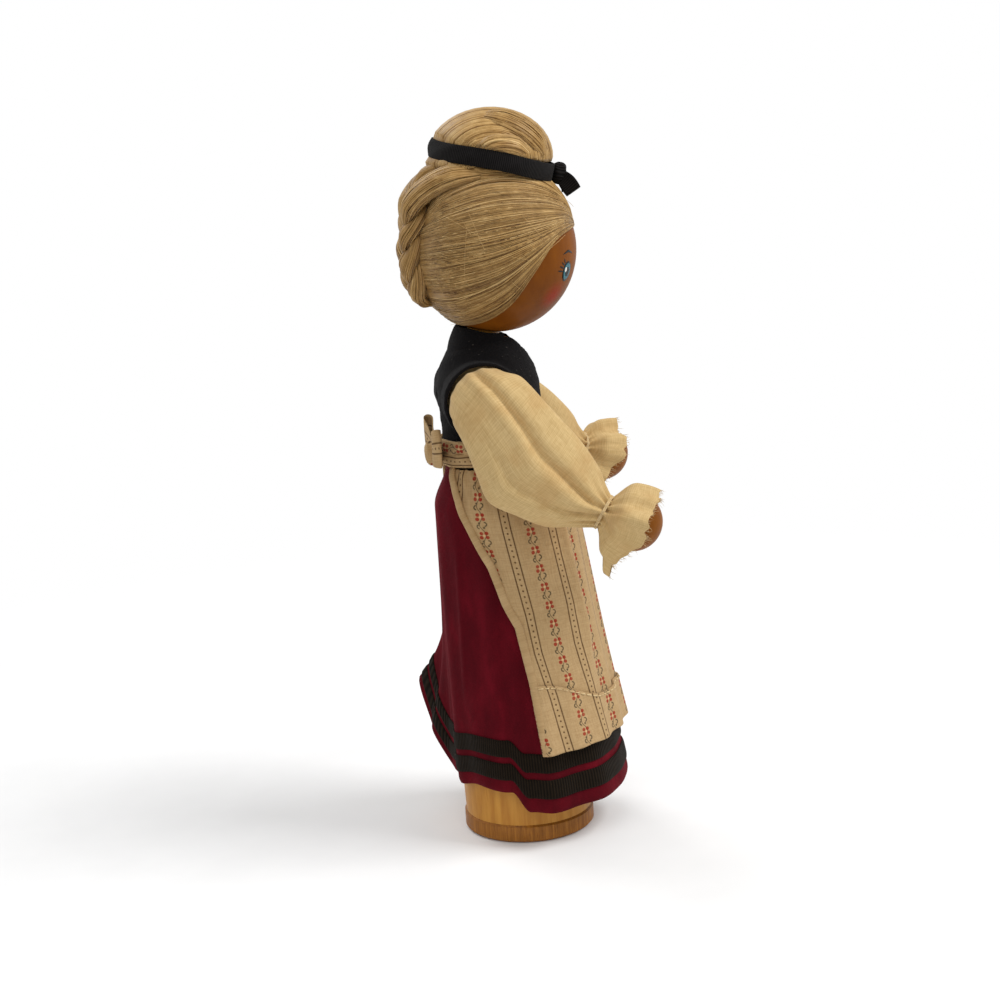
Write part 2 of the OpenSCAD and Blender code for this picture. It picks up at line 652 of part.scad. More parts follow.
// The braid's cross section: flat on the head and rounded outwards
function braid_outline() = concat(
    [[braid_in_r, -braid_w / 2]],
    [for (i = [1:11]) let (a = 15 * i) [braid_in_r + braid_t * pow(sin(a), braid_round_share), -braid_w / 2 * cos(a)]],
    [[braid_in_r, braid_w / 2]]
);
module hair_braid() {
    color(flax_colour) translate(head_c) rotate([90, 0, 90]) rotate([0, 0, 90 - braid_to])
        rotate_extrude(angle = braid_to - braid_from) polygon(braid_outline());
}
module hair_crown() {
    color(flax_colour) difference() {
        translate(head_c) cylinder(h = bun_low_h, r = bun_low_r - bun_rope_r - 4 * lay_gap);
        translate(head_c) sphere(r = head_r + layer_gap);
    }
}
// Middle of the hair rope at a turn of its winding
function rope_at(turn) =
    let (u = smooth((turn - bun_climb_from) / (bun_climb_to - bun_climb_from)), a = 360 * turn,
        r = mix(bun_low_r, bun_top_r, u))
    head_c + [r * sin(a), r * cos(a), bun_low_h + bun_climb * u];
rope_turns = [for (k = [0:bun_loop_rings * (bun_turn_to - bun_turn_from)]) bun_turn_from + k / bun_loop_rings];
rope_points = [for (turn = rope_turns) rope_at(turn)];
function rope_ring(k) =
    let (
        from = rope_points[max(0, k - 1)],
        to = rope_points[min(len(rope_points) - 1, k + 1)],
        run = (to - from) / norm(to - from),
        out = cross(run, [0, 0, 1]) / norm(cross(run, [0, 0, 1])),
        up = cross(out, run)
    )
    [for (i = [0:bun_rope_sides - 1]) let (a = 360 * i / bun_rope_sides)
        rope_points[k] + bun_rope_r * (out * sin(a) + up * cos(a))];
// Least distance between stretches of the rope that are over half a turn apart, less its thickness
rope_gap = min([for (i = [0:len(rope_points) - 1], j = [0:len(rope_points) - 1])
    if (j - i > bun_loop_rings / 2) norm(rope_points[i] - rope_points[j])]) - 2 * bun_rope_r;
echo(rope_gap = rope_gap, enough = rope_gap > least_rope_gap);
module hair_bun() {
    rows = len(rope_points);
    n = bun_rope_sides;
    color(flax_colour) polyhedron(
        flat([for (k = [0:rows - 1]) rope_ring(k)]),
        concat(wall(rows, n, 0, true, true), fan(n, 0, true), fan(n, (rows - 1) * n, false))
    );
}
module at_ribbon() {
    translate(head_c + [0, 0, bun_low_h - hair_ribbon_sink_share * bun_rope_r])
        rotate([hair_ribbon_tilt, 0, 0]) children();
}
module hair_ribbon() {
    color(felt_colour) at_ribbon() translate([0, 0, -hair_ribbon_w / 2]) difference() {
        cylinder(h = hair_ribbon_w, r = hair_ribbon_r + hair_ribbon_t);
        translate([0, 0, -overrun]) cylinder(h = hair_ribbon_w + 2 * overrun, r = hair_ribbon_r);
    }
}
module hair_ribbon_knot() {
    // Turn of each tail about the knot, in degrees
    tail_turns = [15, 165];
    color(felt_colour) at_ribbon() translate([0, -hair_ribbon_r - hair_ribbon_t - layer_gap - knot_d / 2, 0])
        union() {
            sphere(d = knot_d);
            for (turn = tail_turns) rotate([0, turn, 0]) translate([0, -hair_ribbon_t / 2, -hair_ribbon_w / 2])
                cube([knot_tail_l, hair_ribbon_t, hair_ribbon_w]);
        }
}

base_disc();
base_dowel();
body_peg();
neck_dowel();
shoulder_peg(-1);  // shoulder_peg_right
shoulder_peg(1);  // shoulder_peg_left
head_ball();
arm(-1);  // arm_right
arm(1);  // arm_left
hand(-1);  // hand_right
hand(1);  // hand_left
blouse_body();
vest();
sleeve(-1);  // sleeve_right
sleeve(1);  // sleeve_left
wrist_thread(-1);  // wrist_thread_right
wrist_thread(1);  // wrist_thread_left
skirt();
skirt_ribbon(upper_ribbon_shares);  // skirt_ribbon_upper
skirt_ribbon(lower_ribbon_shares);  // skirt_ribbon_lower
apron();
apron_waistband();
apron_bow();
hair_side(-1);  // hair_side_right
hair_side(1);  // hair_side_left
hair_braid();
hair_crown();
hair_bun();
hair_ribbon();
hair_ribbon_knot();
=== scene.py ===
"""Looks of a peg wooden doll in folk dress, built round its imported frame.

Lengths are millimetres until a mesh is made, and the doll faces -Y with its left hand towards +X.
"""

import math

import bmesh
import bpy
import numpy as np
from mathutils import Matrix, Vector


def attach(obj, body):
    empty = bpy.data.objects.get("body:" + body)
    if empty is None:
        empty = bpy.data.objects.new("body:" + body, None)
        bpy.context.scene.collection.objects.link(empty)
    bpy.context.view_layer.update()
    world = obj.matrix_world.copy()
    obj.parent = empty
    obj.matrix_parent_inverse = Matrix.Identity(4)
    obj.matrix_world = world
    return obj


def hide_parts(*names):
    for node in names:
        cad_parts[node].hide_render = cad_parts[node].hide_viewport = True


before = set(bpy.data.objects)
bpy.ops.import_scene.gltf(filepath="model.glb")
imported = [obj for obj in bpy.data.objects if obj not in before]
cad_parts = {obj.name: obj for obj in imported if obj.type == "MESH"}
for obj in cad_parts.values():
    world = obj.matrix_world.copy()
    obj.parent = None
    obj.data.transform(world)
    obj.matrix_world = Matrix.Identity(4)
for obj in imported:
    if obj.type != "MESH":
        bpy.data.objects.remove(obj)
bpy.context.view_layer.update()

MM = 0.001

# Driving sizes, as in the part's own source
BASE_T = 4.5
LEAN = math.radians(2)
BODY_L = 123.7
WAIST_H = 96.5
HEAD_R = 20.0
HEAD_GAP = 0.6
NECK_TILT = math.radians(12)
SHOULDER_BACK = 2.8
SHOULDER_H = 108.6
SHOULDER_X = 16.0
ARMHOLE_X = 12.5
ARM_L = 38.5
ARM_DROP = {-1: math.radians(46), 1: math.radians(36.5)}
ARM_SPLAY = {-1: math.radians(17), 1: math.radians(19.5)}
HAND_DROP = math.radians(20)
HAND_L = 7.3
HAND_R = 7.2
HAND_BACK = 4.0
SLEEVE_FULL = 13.2
SLEEVE_SIDE = 6.4
SLEEVE_IN_X = 13.3
SKIRT_SIDE_X = 18.7
WRIST_R = 3.8
FRILL_L = {-1: 11.5, 1: 8.6}
FRILL_R = {-1: 10.4, 1: 9.0}
SKIRT_L = 91.0
SKIRT_T = 0.9
SKIRT_WAIST_R = 12.4
SKIRT_PUFF_R = 16.2
SKIRT_HEM_R = 26.8
SKIRT_FOLD = 0.45
BAND_DROP = 4.2
BAND_RISE = 1.8
BAND_R = 12.7
BAND_T = 0.9
HEM_MARGIN = 3.8
RIBBON_W = 4.8
RIBBON_GAP = 1.8
APRON_L = 71.0
APRON_T = 0.55
APRON_OUT = 1.0
APRON_FOLD = 0.9
HAIR_R = 22.0
HAIR_SHIFT = np.array([0.0, 1.5, 0.75])
HAIRLINE_DROP = 8.0
HAIRLINE_SLOPE = math.radians(52)
BUN_LOW_R = 10.8
BUN_ROPE_R = 4.3
HAIR_RIBBON_W = 4.4
HAIR_RIBBON_TILT = math.radians(15)

PUFF_SHARE = 0.13
BAND_SHARE = BAND_DROP / SKIRT_L
# Hem: angle from the front towards the right hand, reach, lift, and how late the cloth swings out
HEM_SHARES = np.array([
    [0, 1, 0, 1.3], [45, 0.93, 0, 1.3], [80, 0.87, -0.005, 1.3], [95, 0.84, 0, 1.3], [108, 0.755, 0.055, 1.3],
    [135, 0.71, 0.065, 1.3], [165, 0.685, 0.05, 1.3], [190, 0.7, 0.06, 1.6], [205, 0.92, 0.16, 2.4],
    [218, 1.13, 0.29, 3], [232, 0.98, 0.2, 2.4], [255, 0.86, 0.04, 1.4], [290, 0.88, 0, 1.3],
    [320, 0.94, 0, 1.3], [360, 1, 0, 1.3],
])
# Half of the angle that the apron covers, by the share of the way down
APRON_SHARES = np.array([
    [0, 148], [0.1, 132], [0.2, 121], [0.33, 107], [0.46, 99], [0.54, 91.5], [0.73, 86.5], [1, 83],
])
# Angle of the second dotted stripe, by the share of the way down: the print is laid out from it
STRIPE_SHARES = np.array([[0, 98], [0.2, 93], [0.5, 83.2], [0.64, 80.5], [0.8, 74.5], [1, 69]])
# The print repeats across at this width, with a stripe and a row of flowers in each repeat
COLUMN_W = 11.0
STRIPE_FIRST = 2.0
FLOWERS_AT = 7.5
STRIPE_AT = COLUMN_W + STRIPE_FIRST
# Sleeve stations: along the arm, middle and half height, and side half width, as shares
SLEEVE_SHARES = [
    [0.25, -0.16, 0.92, 0.95], [0.41, -0.28, 1, 1], [0.59, -0.23, 0.9, 1], [0.79, -0.19, 0.73, 0.9],
    [0.9, -0.12, 0.5, 0.72],
]
FRILL_SHARES = [[0.14, 0.45], [0.4, 0.82], [0.7, 0.93], [1, 1]]


def unit(v):
    return v / np.linalg.norm(v, axis=-1, keepdims=True)


def ease(u):
    """From 0 to 1, level at both ends."""
    u = np.clip(u, 0, 1)
    return (1 - np.cos(np.pi * u)) / 2


def bell(x, width):
    """1 at 0, and near 0 beyond twice the width."""
    return np.exp(-(x / width) ** 2)


def circle(count):
    """Angles all the way round, without the one that meets the first."""
    return np.linspace(0, 2 * np.pi, count, endpoint=False)


def xyz(*parts):
    """Points from grids of their coordinates, or from rows and columns that make a grid."""
    return np.stack(np.broadcast_arrays(*parts), -1)


def flat_places(u, v):
    """Flat places of a grid's points, for its weave and its print."""
    return xyz(u, v).reshape(-1, 2)


def table_at(rows, key):
    """Rows start with a rising key: the row at key, eased between its neighbours."""
    key = np.asarray(key, float)
    k = np.clip(np.searchsorted(rows[:, 0], key, side="right") - 1, 0, len(rows) - 2)
    share = ease((key - rows[k, 0]) / (rows[k + 1, 0] - rows[k, 0]))[..., None]
    return rows[k] * (1 - share) + rows[k + 1] * share


def body_place(p):
    """From the leaning body's frame to the doll's."""
    x, y, z = p[..., 0], p[..., 1], p[..., 2]
    c, s = math.cos(LEAN), math.sin(LEAN)
    return xyz(x, y * c + z * s, BASE_T - y * s + z * c)


NECK_TOP = body_place(np.array([0.0, 0.0, BODY_L]))
NECK_WAY = np.array([0.0, -math.sin(NECK_TILT), math.cos(NECK_TILT)])
HEAD_C = NECK_TOP + (HEAD_R + HEAD_GAP) * NECK_WAY


def shoulder_at(side):
    p = body_place(np.array([0.0, SHOULDER_BACK, SHOULDER_H]))
    return p + np.array([side * SHOULDER_X, 0, 0])


def arm_way(side, drop):
    """Unit vector along an arm or hand that points this far below level."""
    splay = ARM_SPLAY[side]
    level = math.cos(splay)
    return np.array([side * math.sin(splay), -level * math.cos(drop), -level * math.sin(drop)])


def wrist_at(side):
    return shoulder_at(side) + ARM_L * arm_way(side, ARM_DROP[side])


def srgb(r, g, b):
    """Linear colour of an 8-bit one."""
    def line(c):
        c = c / 255
        return c / 12.92 if c <= 0.04045 else ((c + 0.055) / 1.055) ** 2.4
    return (line(r), line(g), line(b), 1.0)


def smooth_noise(count, knots, seed):
    """A closed row of smooth random numbers from -1 to 1."""
    values = np.random.default_rng(seed).uniform(-1, 1, knots)
    at = np.linspace(0, knots, count, endpoint=False)
    k = at.astype(int)
    share = ease(at - k)
    return values[k] * (1 - share) + values[(k + 1) % knots] * share


def between(a, b, c, d, t):
    """A smooth curve from b to c at the share t of the way, with a before them and d after them."""
    bend = 2 * a - 5 * b + 4 * c - d
    sway = 3 * b - a - 3 * c + d
    return 0.5 * (2 * b + (c - a) * t + bend * t ** 2 + sway * t ** 3)


def catmull(rows, at):
    """Rows of numbers at places along them, on a smooth curve through every row."""
    last = len(rows) - 1
    k = np.clip(at.astype(int), 0, last - 1)
    before = rows[np.maximum(k - 1, 0)]
    after = rows[np.minimum(k + 2, last)]
    return between(before, rows[k], rows[k + 1], after, (at - k)[:, None])


# Meshes
def close_up(mesh):
    """Open ends are capped, and every face is turned outwards."""
    work = bmesh.new()
    work.from_mesh(mesh)
    rims = [edge for edge in work.edges if edge.is_boundary]
    bmesh.ops.holes_fill(work, edges=rims, sides=0)
    bmesh.ops.recalc_face_normals(work, faces=work.faces)
    work.to_mesh(mesh)
    work.free()


def show(name, data):
    """An object of the scene with this mesh, camera or light."""
    thing = bpy.data.objects.new(name, data)
    bpy.context.scene.collection.objects.link(thing)
    return thing


def lay_flat(mesh, flat):
    """Keep the flat place of every point with the mesh."""
    layer = mesh.uv_layers.new(name="cloth")
    index = np.empty(len(mesh.loops), np.int32)
    mesh.loops.foreach_get("vertex_index", index)
    layer.data.foreach_set("uv", np.asarray(flat, np.float32)[index].ravel())


def make(name, points, faces, body, finish, flat, tone=None):
    """A piece of the doll from points in millimetres, which rides on a body."""
    mesh = bpy.data.meshes.new(name)
    mesh.from_pydata((np.asarray(points) * MM).tolist(), [], [list(map(int, f)) for f in faces])
    close_up(mesh)
    mesh.polygons.foreach_set("use_smooth", [True] * len(mesh.polygons))
    lay_flat(mesh, flat)
    if tone is not None:
        layer = mesh.attributes.new("tone", "FLOAT", "POINT")
        layer.data.foreach_set("value", np.asarray(tone, np.float32))
    mesh.materials.append(finish)
    piece = show(name, mesh)
    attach(piece, body)
    return piece


def grid_faces(rows, cols, closed, start=0, flip=False):
    """Faces of a grid of points, which meets itself round its columns where it is closed."""
    j, i = np.meshgrid(np.arange(rows - 1), np.arange(cols if closed else cols - 1), indexing="ij")
    a = start + j * cols + i
    b = start + j * cols + (i + 1) % cols
    quads = np.stack([a, b, b + cols, a + cols], -1).reshape(-1, 4)
    return quads[:, ::-1] if flip else quads


def shell(outer, inner, closed, flat):
    """Points, faces and flat places of cloth between an outer and an inner grid, with its edges."""
    rows, cols = outer.shape[:2]
    base = rows * cols
    points = np.concatenate([outer.reshape(-1, 3), inner.reshape(-1, 3)])
    faces = [grid_faces(rows, cols, closed), grid_faces(rows, cols, closed, base, True)]
    ring = np.arange(cols if closed else cols - 1)
    rims = [(row * cols + ring, row * cols + (ring + 1) % cols, row == 0) for row in (0, rows - 1)]
    if not closed:
        down = np.arange(rows - 1) * cols
        rims += [(down + col, down + col + cols, col > 0) for col in (0, cols - 1)]
    for a, b, flip in rims:
        edge = np.stack([a, b, b + base, a + base], -1)
        faces.append(edge[:, ::-1] if flip else edge)
    return points, np.concatenate(faces), np.concatenate([flat, flat])


def cloth(name, outer, inner, closed, flat, body, finish, tone=None):
    """A piece of cloth between two grids."""
    points, faces, flat = shell(outer, inner, closed, flat)
    return make(name, points, faces, body, finish, flat, tone)


def join(parts):
    """One set of points, faces, flat places and any tones from several."""
    points, faces, *rest = zip(*parts)
    starts = np.cumsum([0] + [len(p) for p in points])
    faces = np.concatenate([f + start for f, start in zip(faces, starts)])
    return (np.concatenate(points), faces, *(np.concatenate(values) for values in rest))


def tubes(paths, outs, radii, sides, squash=1.0):
    """Points and faces of tubes along paths [n, k, 3]. outs points out of the surface that they lie on."""
    n, k = paths.shape[:2]
    run = unit(np.gradient(paths, axis=1))
    across = unit(np.cross(run, outs))
    out = np.cross(across, run)
    turn = circle(sides)
    ring = (np.cos(turn)[None, None, :, None] * across[:, :, None, :]
            + squash * np.sin(turn)[None, None, :, None] * out[:, :, None, :])
    points = paths[:, :, None, :] + np.broadcast_to(radii, (n, k))[:, :, None, None] * ring
    base = grid_faces(k, sides, True)
    faces = (base[None] + (np.arange(n) * k * sides)[:, None, None]).reshape(-1, 4)
    return points.reshape(-1, 3), faces


# Materials
class Nodes:
    """Short ways to add nodes to the tree of a material or a world."""

    def __init__(self, owner):
        owner.use_nodes = True
        self.owner = owner
        self.tree = owner.node_tree
        self.shader = self.tree.nodes.get("Principled BSDF")

    def add(self, kind, props=None, **inputs):
        """A node with its inputs set or linked: i0 is the first input, and a word is an input's name."""
        node = self.tree.nodes.new(kind)
        for key, value in (props or {}).items():
            setattr(node, key, value)
        for key, value in inputs.items():
            numbered = key[0] == "i" and key[1:].isdigit()
            socket = node.inputs[int(key[1:]) if numbered else key.replace("_", " ")]
            if isinstance(value, bpy.types.NodeSocket):
                self.tree.links.new(value, socket)
            else:
                socket.default_value = value
        return node

    def link(self, value, socket):
        self.tree.links.new(value, self.shader.inputs[socket])

    def math(self, operation, *values):
        inputs = {f"i{k}": v for k, v in enumerate(values)}
        return self.add("ShaderNodeMath", {"operation": operation}, **inputs).outputs[0]

    def plus(self, a, b):
        return self.math("ADD", a, b)

    def minus(self, a, b):
        return self.math("SUBTRACT", a, b)

    def times(self, a, b):
        return self.math("MULTIPLY", a, b)

    def scaled(self, a, b, c):
        """a times b, plus c."""
        return self.math("MULTIPLY_ADD", a, b, c)

    def apart(self, a, b):
        """How far a is from b."""
        return self.math("ABSOLUTE", self.minus(a, b))

    def wave(self, value, length):
        return self.math("SINE", self.times(value, 2 * math.pi / length))

    def mix(self, share, a, b):
        return self.add("ShaderNodeMix", {"data_type": "RGBA"}, i0=share, i6=a, i7=b).outputs[2]

    def stretch(self, vector, scale):
        return self.add("ShaderNodeMapping", Vector=vector, Scale=scale).outputs[0]

    def noise(self, vector, scale, detail=3.0, rough=0.55):
        """Noise at one scale, or at three for a stretched one."""
        if isinstance(scale, tuple):
            vector, scale = self.stretch(vector, scale), 1.0
        node = self.add("ShaderNodeTexNoise", Vector=vector, Scale=scale, Detail=detail, Roughness=rough)
        return node.outputs["Fac"]

    def uv(self):
        return self.add("ShaderNodeTexCoord").outputs["UV"]

    def parts(self, vector):
        return self.add("ShaderNodeSeparateXYZ", Vector=vector).outputs

    def place(self):
        """Place on the piece in millimetres."""
        place = self.add("ShaderNodeTexCoord").outputs["Object"]
        return self.stretch(place, (1 / MM, 1 / MM, 1 / MM))

    def ramp(self, share, *stops):
        node = self.add("ShaderNodeValToRGB", Fac=share)
        points = node.color_ramp.elements
        while len(points) < len(stops):
            points.new(1.0)
        for point, (place, colour) in zip(points, stops):
            point.position = place
            point.color = colour
        return node.outputs[0]

    def below(self, value, limit, soft):
        """1 where value is under limit, with a soft edge."""
        return self.add("ShaderNodeMapRange", {"interpolation_type": "SMOOTHSTEP"}, Value=value,
                        From_Min=limit - soft, From_Max=limit + soft, To_Min=1.0, To_Max=0.0).outputs[0]

    def finish(self, colour, height, depth, strength):
        """Link the colour and a bump of this depth in millimetres, and give the material."""
        self.link(colour, "Base Color")
        node = self.add("ShaderNodeBump", Height=height, Distance=depth * MM, Strength=strength)
        self.link(node.outputs[0], "Normal")
        return self.owner


def material(name, **fixed):
    n = Nodes(bpy.data.materials.new(name))
    for key, value in fixed.items():
        n.shader.inputs[key.replace("_", " ")].default_value = value
    return n


def wood(name, light, dark, grain, coat, rough, flecks, cheeks=()):
    """Turned wood under varnish: long grain, flecks and a clear coat, with rouge on any cheeks."""
    n = material(name, Coat_Weight=coat, Coat_Roughness=0.16, Specular_IOR_Level=0.06)
    place = n.place()
    long = n.noise(place, grain, 6.0, 0.6)
    cloud = n.noise(place, 0.09)
    fleck = n.noise(place, tuple(2.6 * g for g in grain), 2.0)
    colour = n.ramp(long, (0.28, dark), (0.68, light))
    colour = n.mix(n.times(n.below(fleck, 0.36, 0.05), flecks), colour, dark)
    colour = n.mix(n.times(cloud, 0.3), colour, light)
    for cheek in cheeks:
        away = n.add("ShaderNodeVectorMath", {"operation": "DISTANCE"}, i0=place, i1=tuple(cheek))
        share = n.times(n.below(away.outputs["Value"], ROUGE_R, ROUGE_R), 0.75)
        colour = n.mix(share, colour, srgb(150, 34, 14))
    n.link(n.scaled(long, 0.18, rough), "Roughness")
    return n.finish(colour, long, 0.05, 0.35)


def flax(name):
    """Combed flax: each strand has its own tone, and every strand varies along its length."""
    n = material(name, Sheen_Weight=0.08, Sheen_Roughness=0.35, Specular_IOR_Level=0.28)
    # The tone holds each strand's own tone, with painted shade added: darker strands low on the sides and
    # darker layers under the strands.
    tone = n.add("ShaderNodeAttribute", {"attribute_name": "tone"}).outputs["Fac"]
    streak = n.noise(n.uv(), (260.0, 5.0, 1.0), 4.0, 0.7)
    soft = n.noise(n.place(), 0.35, 2.0)
    share = n.scaled(n.minus(streak, 0.5), 0.6, tone)
    share = n.scaled(n.minus(soft, 0.5), 0.45, share)
    colour = n.ramp(share, (0.0, srgb(92, 62, 28)), (0.3, srgb(138, 102, 54)), (0.62, srgb(182, 144, 86)),
                    (1.0, srgb(228, 194, 134)))
    n.link(n.scaled(streak, 0.25, 0.34), "Roughness")
    return n.finish(colour, streak, 0.12, 0.7)


def felt(name):
    """Black felt with matted fibres and pale lint."""
    n = material(name, Roughness=0.95, Sheen_Weight=0.04, Sheen_Roughness=0.6, Specular_IOR_Level=0.08)
    place = n.place()
    fibre = n.noise(place, 2.4, 6.0, 0.7)
    lint = n.noise(place, (3.0, 1.1, 1.6), 1.0)
    colour = n.ramp(fibre, (0.3, srgb(7, 6, 7)), (0.75, srgb(22, 19, 20)))
    colour = n.mix(n.times(n.below(lint, 0.25, 0.02), 0.45), colour, srgb(110, 104, 98))
    return n.finish(colour, fibre, 0.35, 0.9)


def weave(n, uv, pitch):
    """Height of a plain weave, with threads that thicken and thin."""
    fine = 1 / pitch
    waves = [n.math("SINE", n.times(part, 2 * math.pi * fine)) for part in n.parts(uv)[:2]]
    warp = n.noise(uv, (fine, 0.12 * fine, 1.0), 1.0)
    weft = n.noise(uv, (0.12 * fine, fine, 5.0), 1.0)
    slubs = n.times(n.plus(warp, weft), 0.3)
    return n.plus(n.plus(slubs, n.times(n.plus(*waves), 0.035)), 0.2)


def linen(name, light, dark, stain, stains):
    """Cream plain weave with slubs and age stains."""
    n = material(name, Roughness=0.9, Sheen_Weight=0.08, Sheen_Roughness=0.5, Specular_IOR_Level=0.1)
    threads = weave(n, n.uv(), 0.42)
    blotch = n.noise(n.place(), (0.1, 0.1, 0.13), 4.0)
    colour = n.ramp(threads, (0.34, dark), (0.62, light))
    share = n.times(n.minus(1.0, n.below(blotch, 0.56, 0.12)), stains)
    return n.finish(n.mix(share, colour, stain), threads, 0.12, 0.7)


def velvet(name):
    """Burgundy velvet: a nap that shines at grazing light and mottles where it was brushed."""
    n = material(name, Roughness=0.85, Sheen_Weight=0.16, Sheen_Roughness=0.3, Sheen_Tint=srgb(200, 50, 70),
                 Specular_IOR_Level=0.08)
    place = n.place()
    nap = n.noise(place, (0.16, 0.16, 0.07), 5.0, 0.6)
    pile = n.noise(place, 3.0, 2.0)
    colour = n.ramp(nap, (0.3, srgb(72, 5, 15)), (0.55, srgb(92, 8, 21)), (0.8, srgb(116, 14, 30)))
    return n.finish(n.mix(n.times(pile, 0.35), colour, srgb(56, 3, 10)), pile, 0.2, 0.6)


def ribbed(name, light, dark, pitch):
    """Ribbed ribbon: fine cords across its width, side by side along the first coordinate."""
    n = material(name, Roughness=0.85, Sheen_Weight=0.02, Specular_IOR_Level=0.08)
    uv = n.uv()
    worn = n.noise(uv, (0.8, 0.5, 1.0), 4.0)
    height = n.scaled(n.wave(n.parts(uv)[0], pitch), 0.5, n.times(worn, 0.8))
    return n.finish(n.ramp(height, (0.0, dark), (0.95, light)), height, 0.15, 0.8)


# Print of the apron in millimetres: the step of the flowers, of the dots, and the softness of the ink's edge
FLOWER_STEP = 4.7
FLOWER_H = 1.5
DOT_STEP = 1.45
INK = 0.09
PETALS = ((-0.74, 0.45, 0.47), (-0.55, -0.6, 0.44), (0.6, -0.55, 0.47), (0.66, 0.52, 0.44))
BUDS = ((-0.5, 2.95), (0.4, 4.2))
HOOKS = ((0.62, 3.35, 0.5, 1), (-0.68, 3.85, 0.46, -1))


def print_cotton(name):
    """Cream cotton with dotted double stripes and rows of small red flowers between them."""
    n = material(name, Roughness=0.88, Sheen_Weight=0.05, Specular_IOR_Level=0.1)
    uv = n.uv()
    column, row = n.parts(uv)[:2]
    x = n.math("WRAP", column, COLUMN_W, 0.0)
    y = n.math("WRAP", row, FLOWER_STEP, 0.0)

    def away(cx, cy, py=y):
        dx = n.minus(x, cx)
        dy = n.minus(py, cy)
        return n.math("SQRT", n.scaled(dx, dx, n.times(dy, dy)))

    def spot(cx, cy, r, py=y):
        return n.below(away(cx, cy, py), r, INK)

    def hook(cx, cy, r, way):
        line = n.below(n.apart(away(cx, cy), r), 0.16, INK)
        outside = n.times(n.minus(x, cx), -way)
        return n.times(line, n.below(outside, 0.05, INK))

    def either(*masks):
        total = masks[0]
        for mask in masks[1:]:
            total = n.math("MAXIMUM", total, mask)
        return total

    lines = n.below(n.apart(n.apart(x, STRIPE_FIRST), 0.95), 0.16, INK)
    dots = spot(STRIPE_FIRST, DOT_STEP / 2, 0.24, n.math("WRAP", row, DOT_STEP, 0.0))
    petals = [spot(FLOWERS_AT + cx, FLOWER_H + cy, r) for cx, cy, r in PETALS]
    heart = spot(FLOWERS_AT, FLOWER_H, 0.26)
    bend = n.times(n.wave(y, FLOWER_STEP), 0.5)
    stem = n.below(n.apart(n.minus(x, FLOWERS_AT), bend), 0.1, INK)
    curls = [hook(FLOWERS_AT + cx, cy, r, way) for cx, cy, r, way in HOOKS]
    buds = [spot(FLOWERS_AT + cx, cy, 0.27) for cx, cy in BUDS]
    threads = weave(n, uv, 0.36)
    colour = n.ramp(threads, (0.36, srgb(169, 138, 96)), (0.62, srgb(195, 165, 122)))
    age = n.noise(n.place(), (0.07, 0.07, 0.07))
    colour = n.mix(n.times(age, 0.25), colour, srgb(172, 138, 92))
    fade = n.scaled(n.noise(uv, (1.1, 1.1, 1.0)), 0.5, 0.6)
    for masks, ink in (([lines, dots], srgb(72, 46, 24)), ([stem, *curls, *buds], srgb(66, 58, 42)),
                       (petals, srgb(150, 30, 20))):
        colour = n.mix(n.times(either(*masks), fade), colour, ink)
    return n.finish(n.mix(heart, colour, srgb(214, 176, 128)), threads, 0.08, 0.6)


def paint(name, light, dark):
    """Brushed enamel for the face."""
    n = material(name, Roughness=0.45, Coat_Weight=0.08, Specular_IOR_Level=0.15)
    n.link(n.ramp(n.noise(n.place(), 1.6), (0.35, dark), (0.7, light)), "Base Color")
    return n.owner


# Face: turn to the side and drop below level of the places on the ball
EYE_TURN = math.radians(35)
EYE_DROP = math.radians(15.5)
CHEEK_TURN = math.radians(44)
CHEEK_DROP = math.radians(33)
MOUTH_DROP = math.radians(40)
ROUGE_R = 2.6


def face_way(turn, drop):
    return np.array([math.sin(turn) * math.cos(drop), -math.cos(turn) * math.cos(drop), -math.sin(drop)])


CHEEKS = [HEAD_C + HEAD_R * face_way(side * CHEEK_TURN, CHEEK_DROP) for side in (-1, 1)]
WOOD_BODY = wood("wood_body", srgb(196, 140, 58), srgb(166, 106, 36), (0.5, 0.5, 0.06), 0.3, 0.4, 0.5)
WOOD_DISC = wood("wood_disc", srgb(166, 108, 40), srgb(104, 58, 16), (1.8, 1.8, 0.12), 0.25, 0.45, 0.85)
WOOD_HAND = wood("wood_hand_varnish", srgb(142, 84, 18), srgb(104, 54, 8), (0.4, 0.4, 0.1), 0.1, 0.42, 0.4)
WOOD_HEAD = wood("wood_head_varnish", srgb(130, 73, 14), srgb(106, 55, 8), (0.22, 0.22, 0.05), 0.06, 0.42,
                 0.2, CHEEKS)
FLAX = flax("flax_hair")
FELT = felt("felt_vest")
LINEN = linen("linen_sleeve", srgb(216, 187, 134), srgb(189, 158, 105), srgb(184, 139, 82), 0.3)
THREAD = linen("thread_twist", srgb(226, 202, 156), srgb(178, 148, 104), srgb(160, 120, 76), 0.2)
VELVET = velvet("velvet_skirt")
TRIM = ribbed("ribbon_trim", srgb(34, 25, 15), srgb(13, 8, 4), 0.62)
BLACK = ribbed("ribbon_hair", srgb(34, 31, 30), srgb(12, 11, 11), 0.5)
PRINT = print_cotton("cotton_print")
EYE_DARK = paint("paint_black", srgb(30, 24, 22), srgb(16, 12, 12))
EYE_TEAL = paint("paint_teal", srgb(76, 132, 142), srgb(44, 92, 104))
EYE_WHITE = paint("paint_white", srgb(244, 240, 232), srgb(226, 220, 208))
LIP_RED = paint("paint_red", srgb(186, 50, 40), srgb(150, 30, 26))


# Wooden pieces keep their solids and get their finish here
for node, finish in {
    "base_disc": WOOD_DISC, "base_dowel": WOOD_BODY, "body_peg": WOOD_BODY, "neck_dowel": WOOD_BODY,
    "shoulder_peg_right": WOOD_BODY, "shoulder_peg_left": WOOD_BODY, "arm_right": WOOD_BODY,
    "arm_left": WOOD_BODY, "hand_right": WOOD_HAND, "hand_left": WOOD_HAND, "head_ball": WOOD_HEAD,
}.items():
    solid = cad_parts[node]
    solid.data.materials.clear()
    solid.data.materials.append(finish)


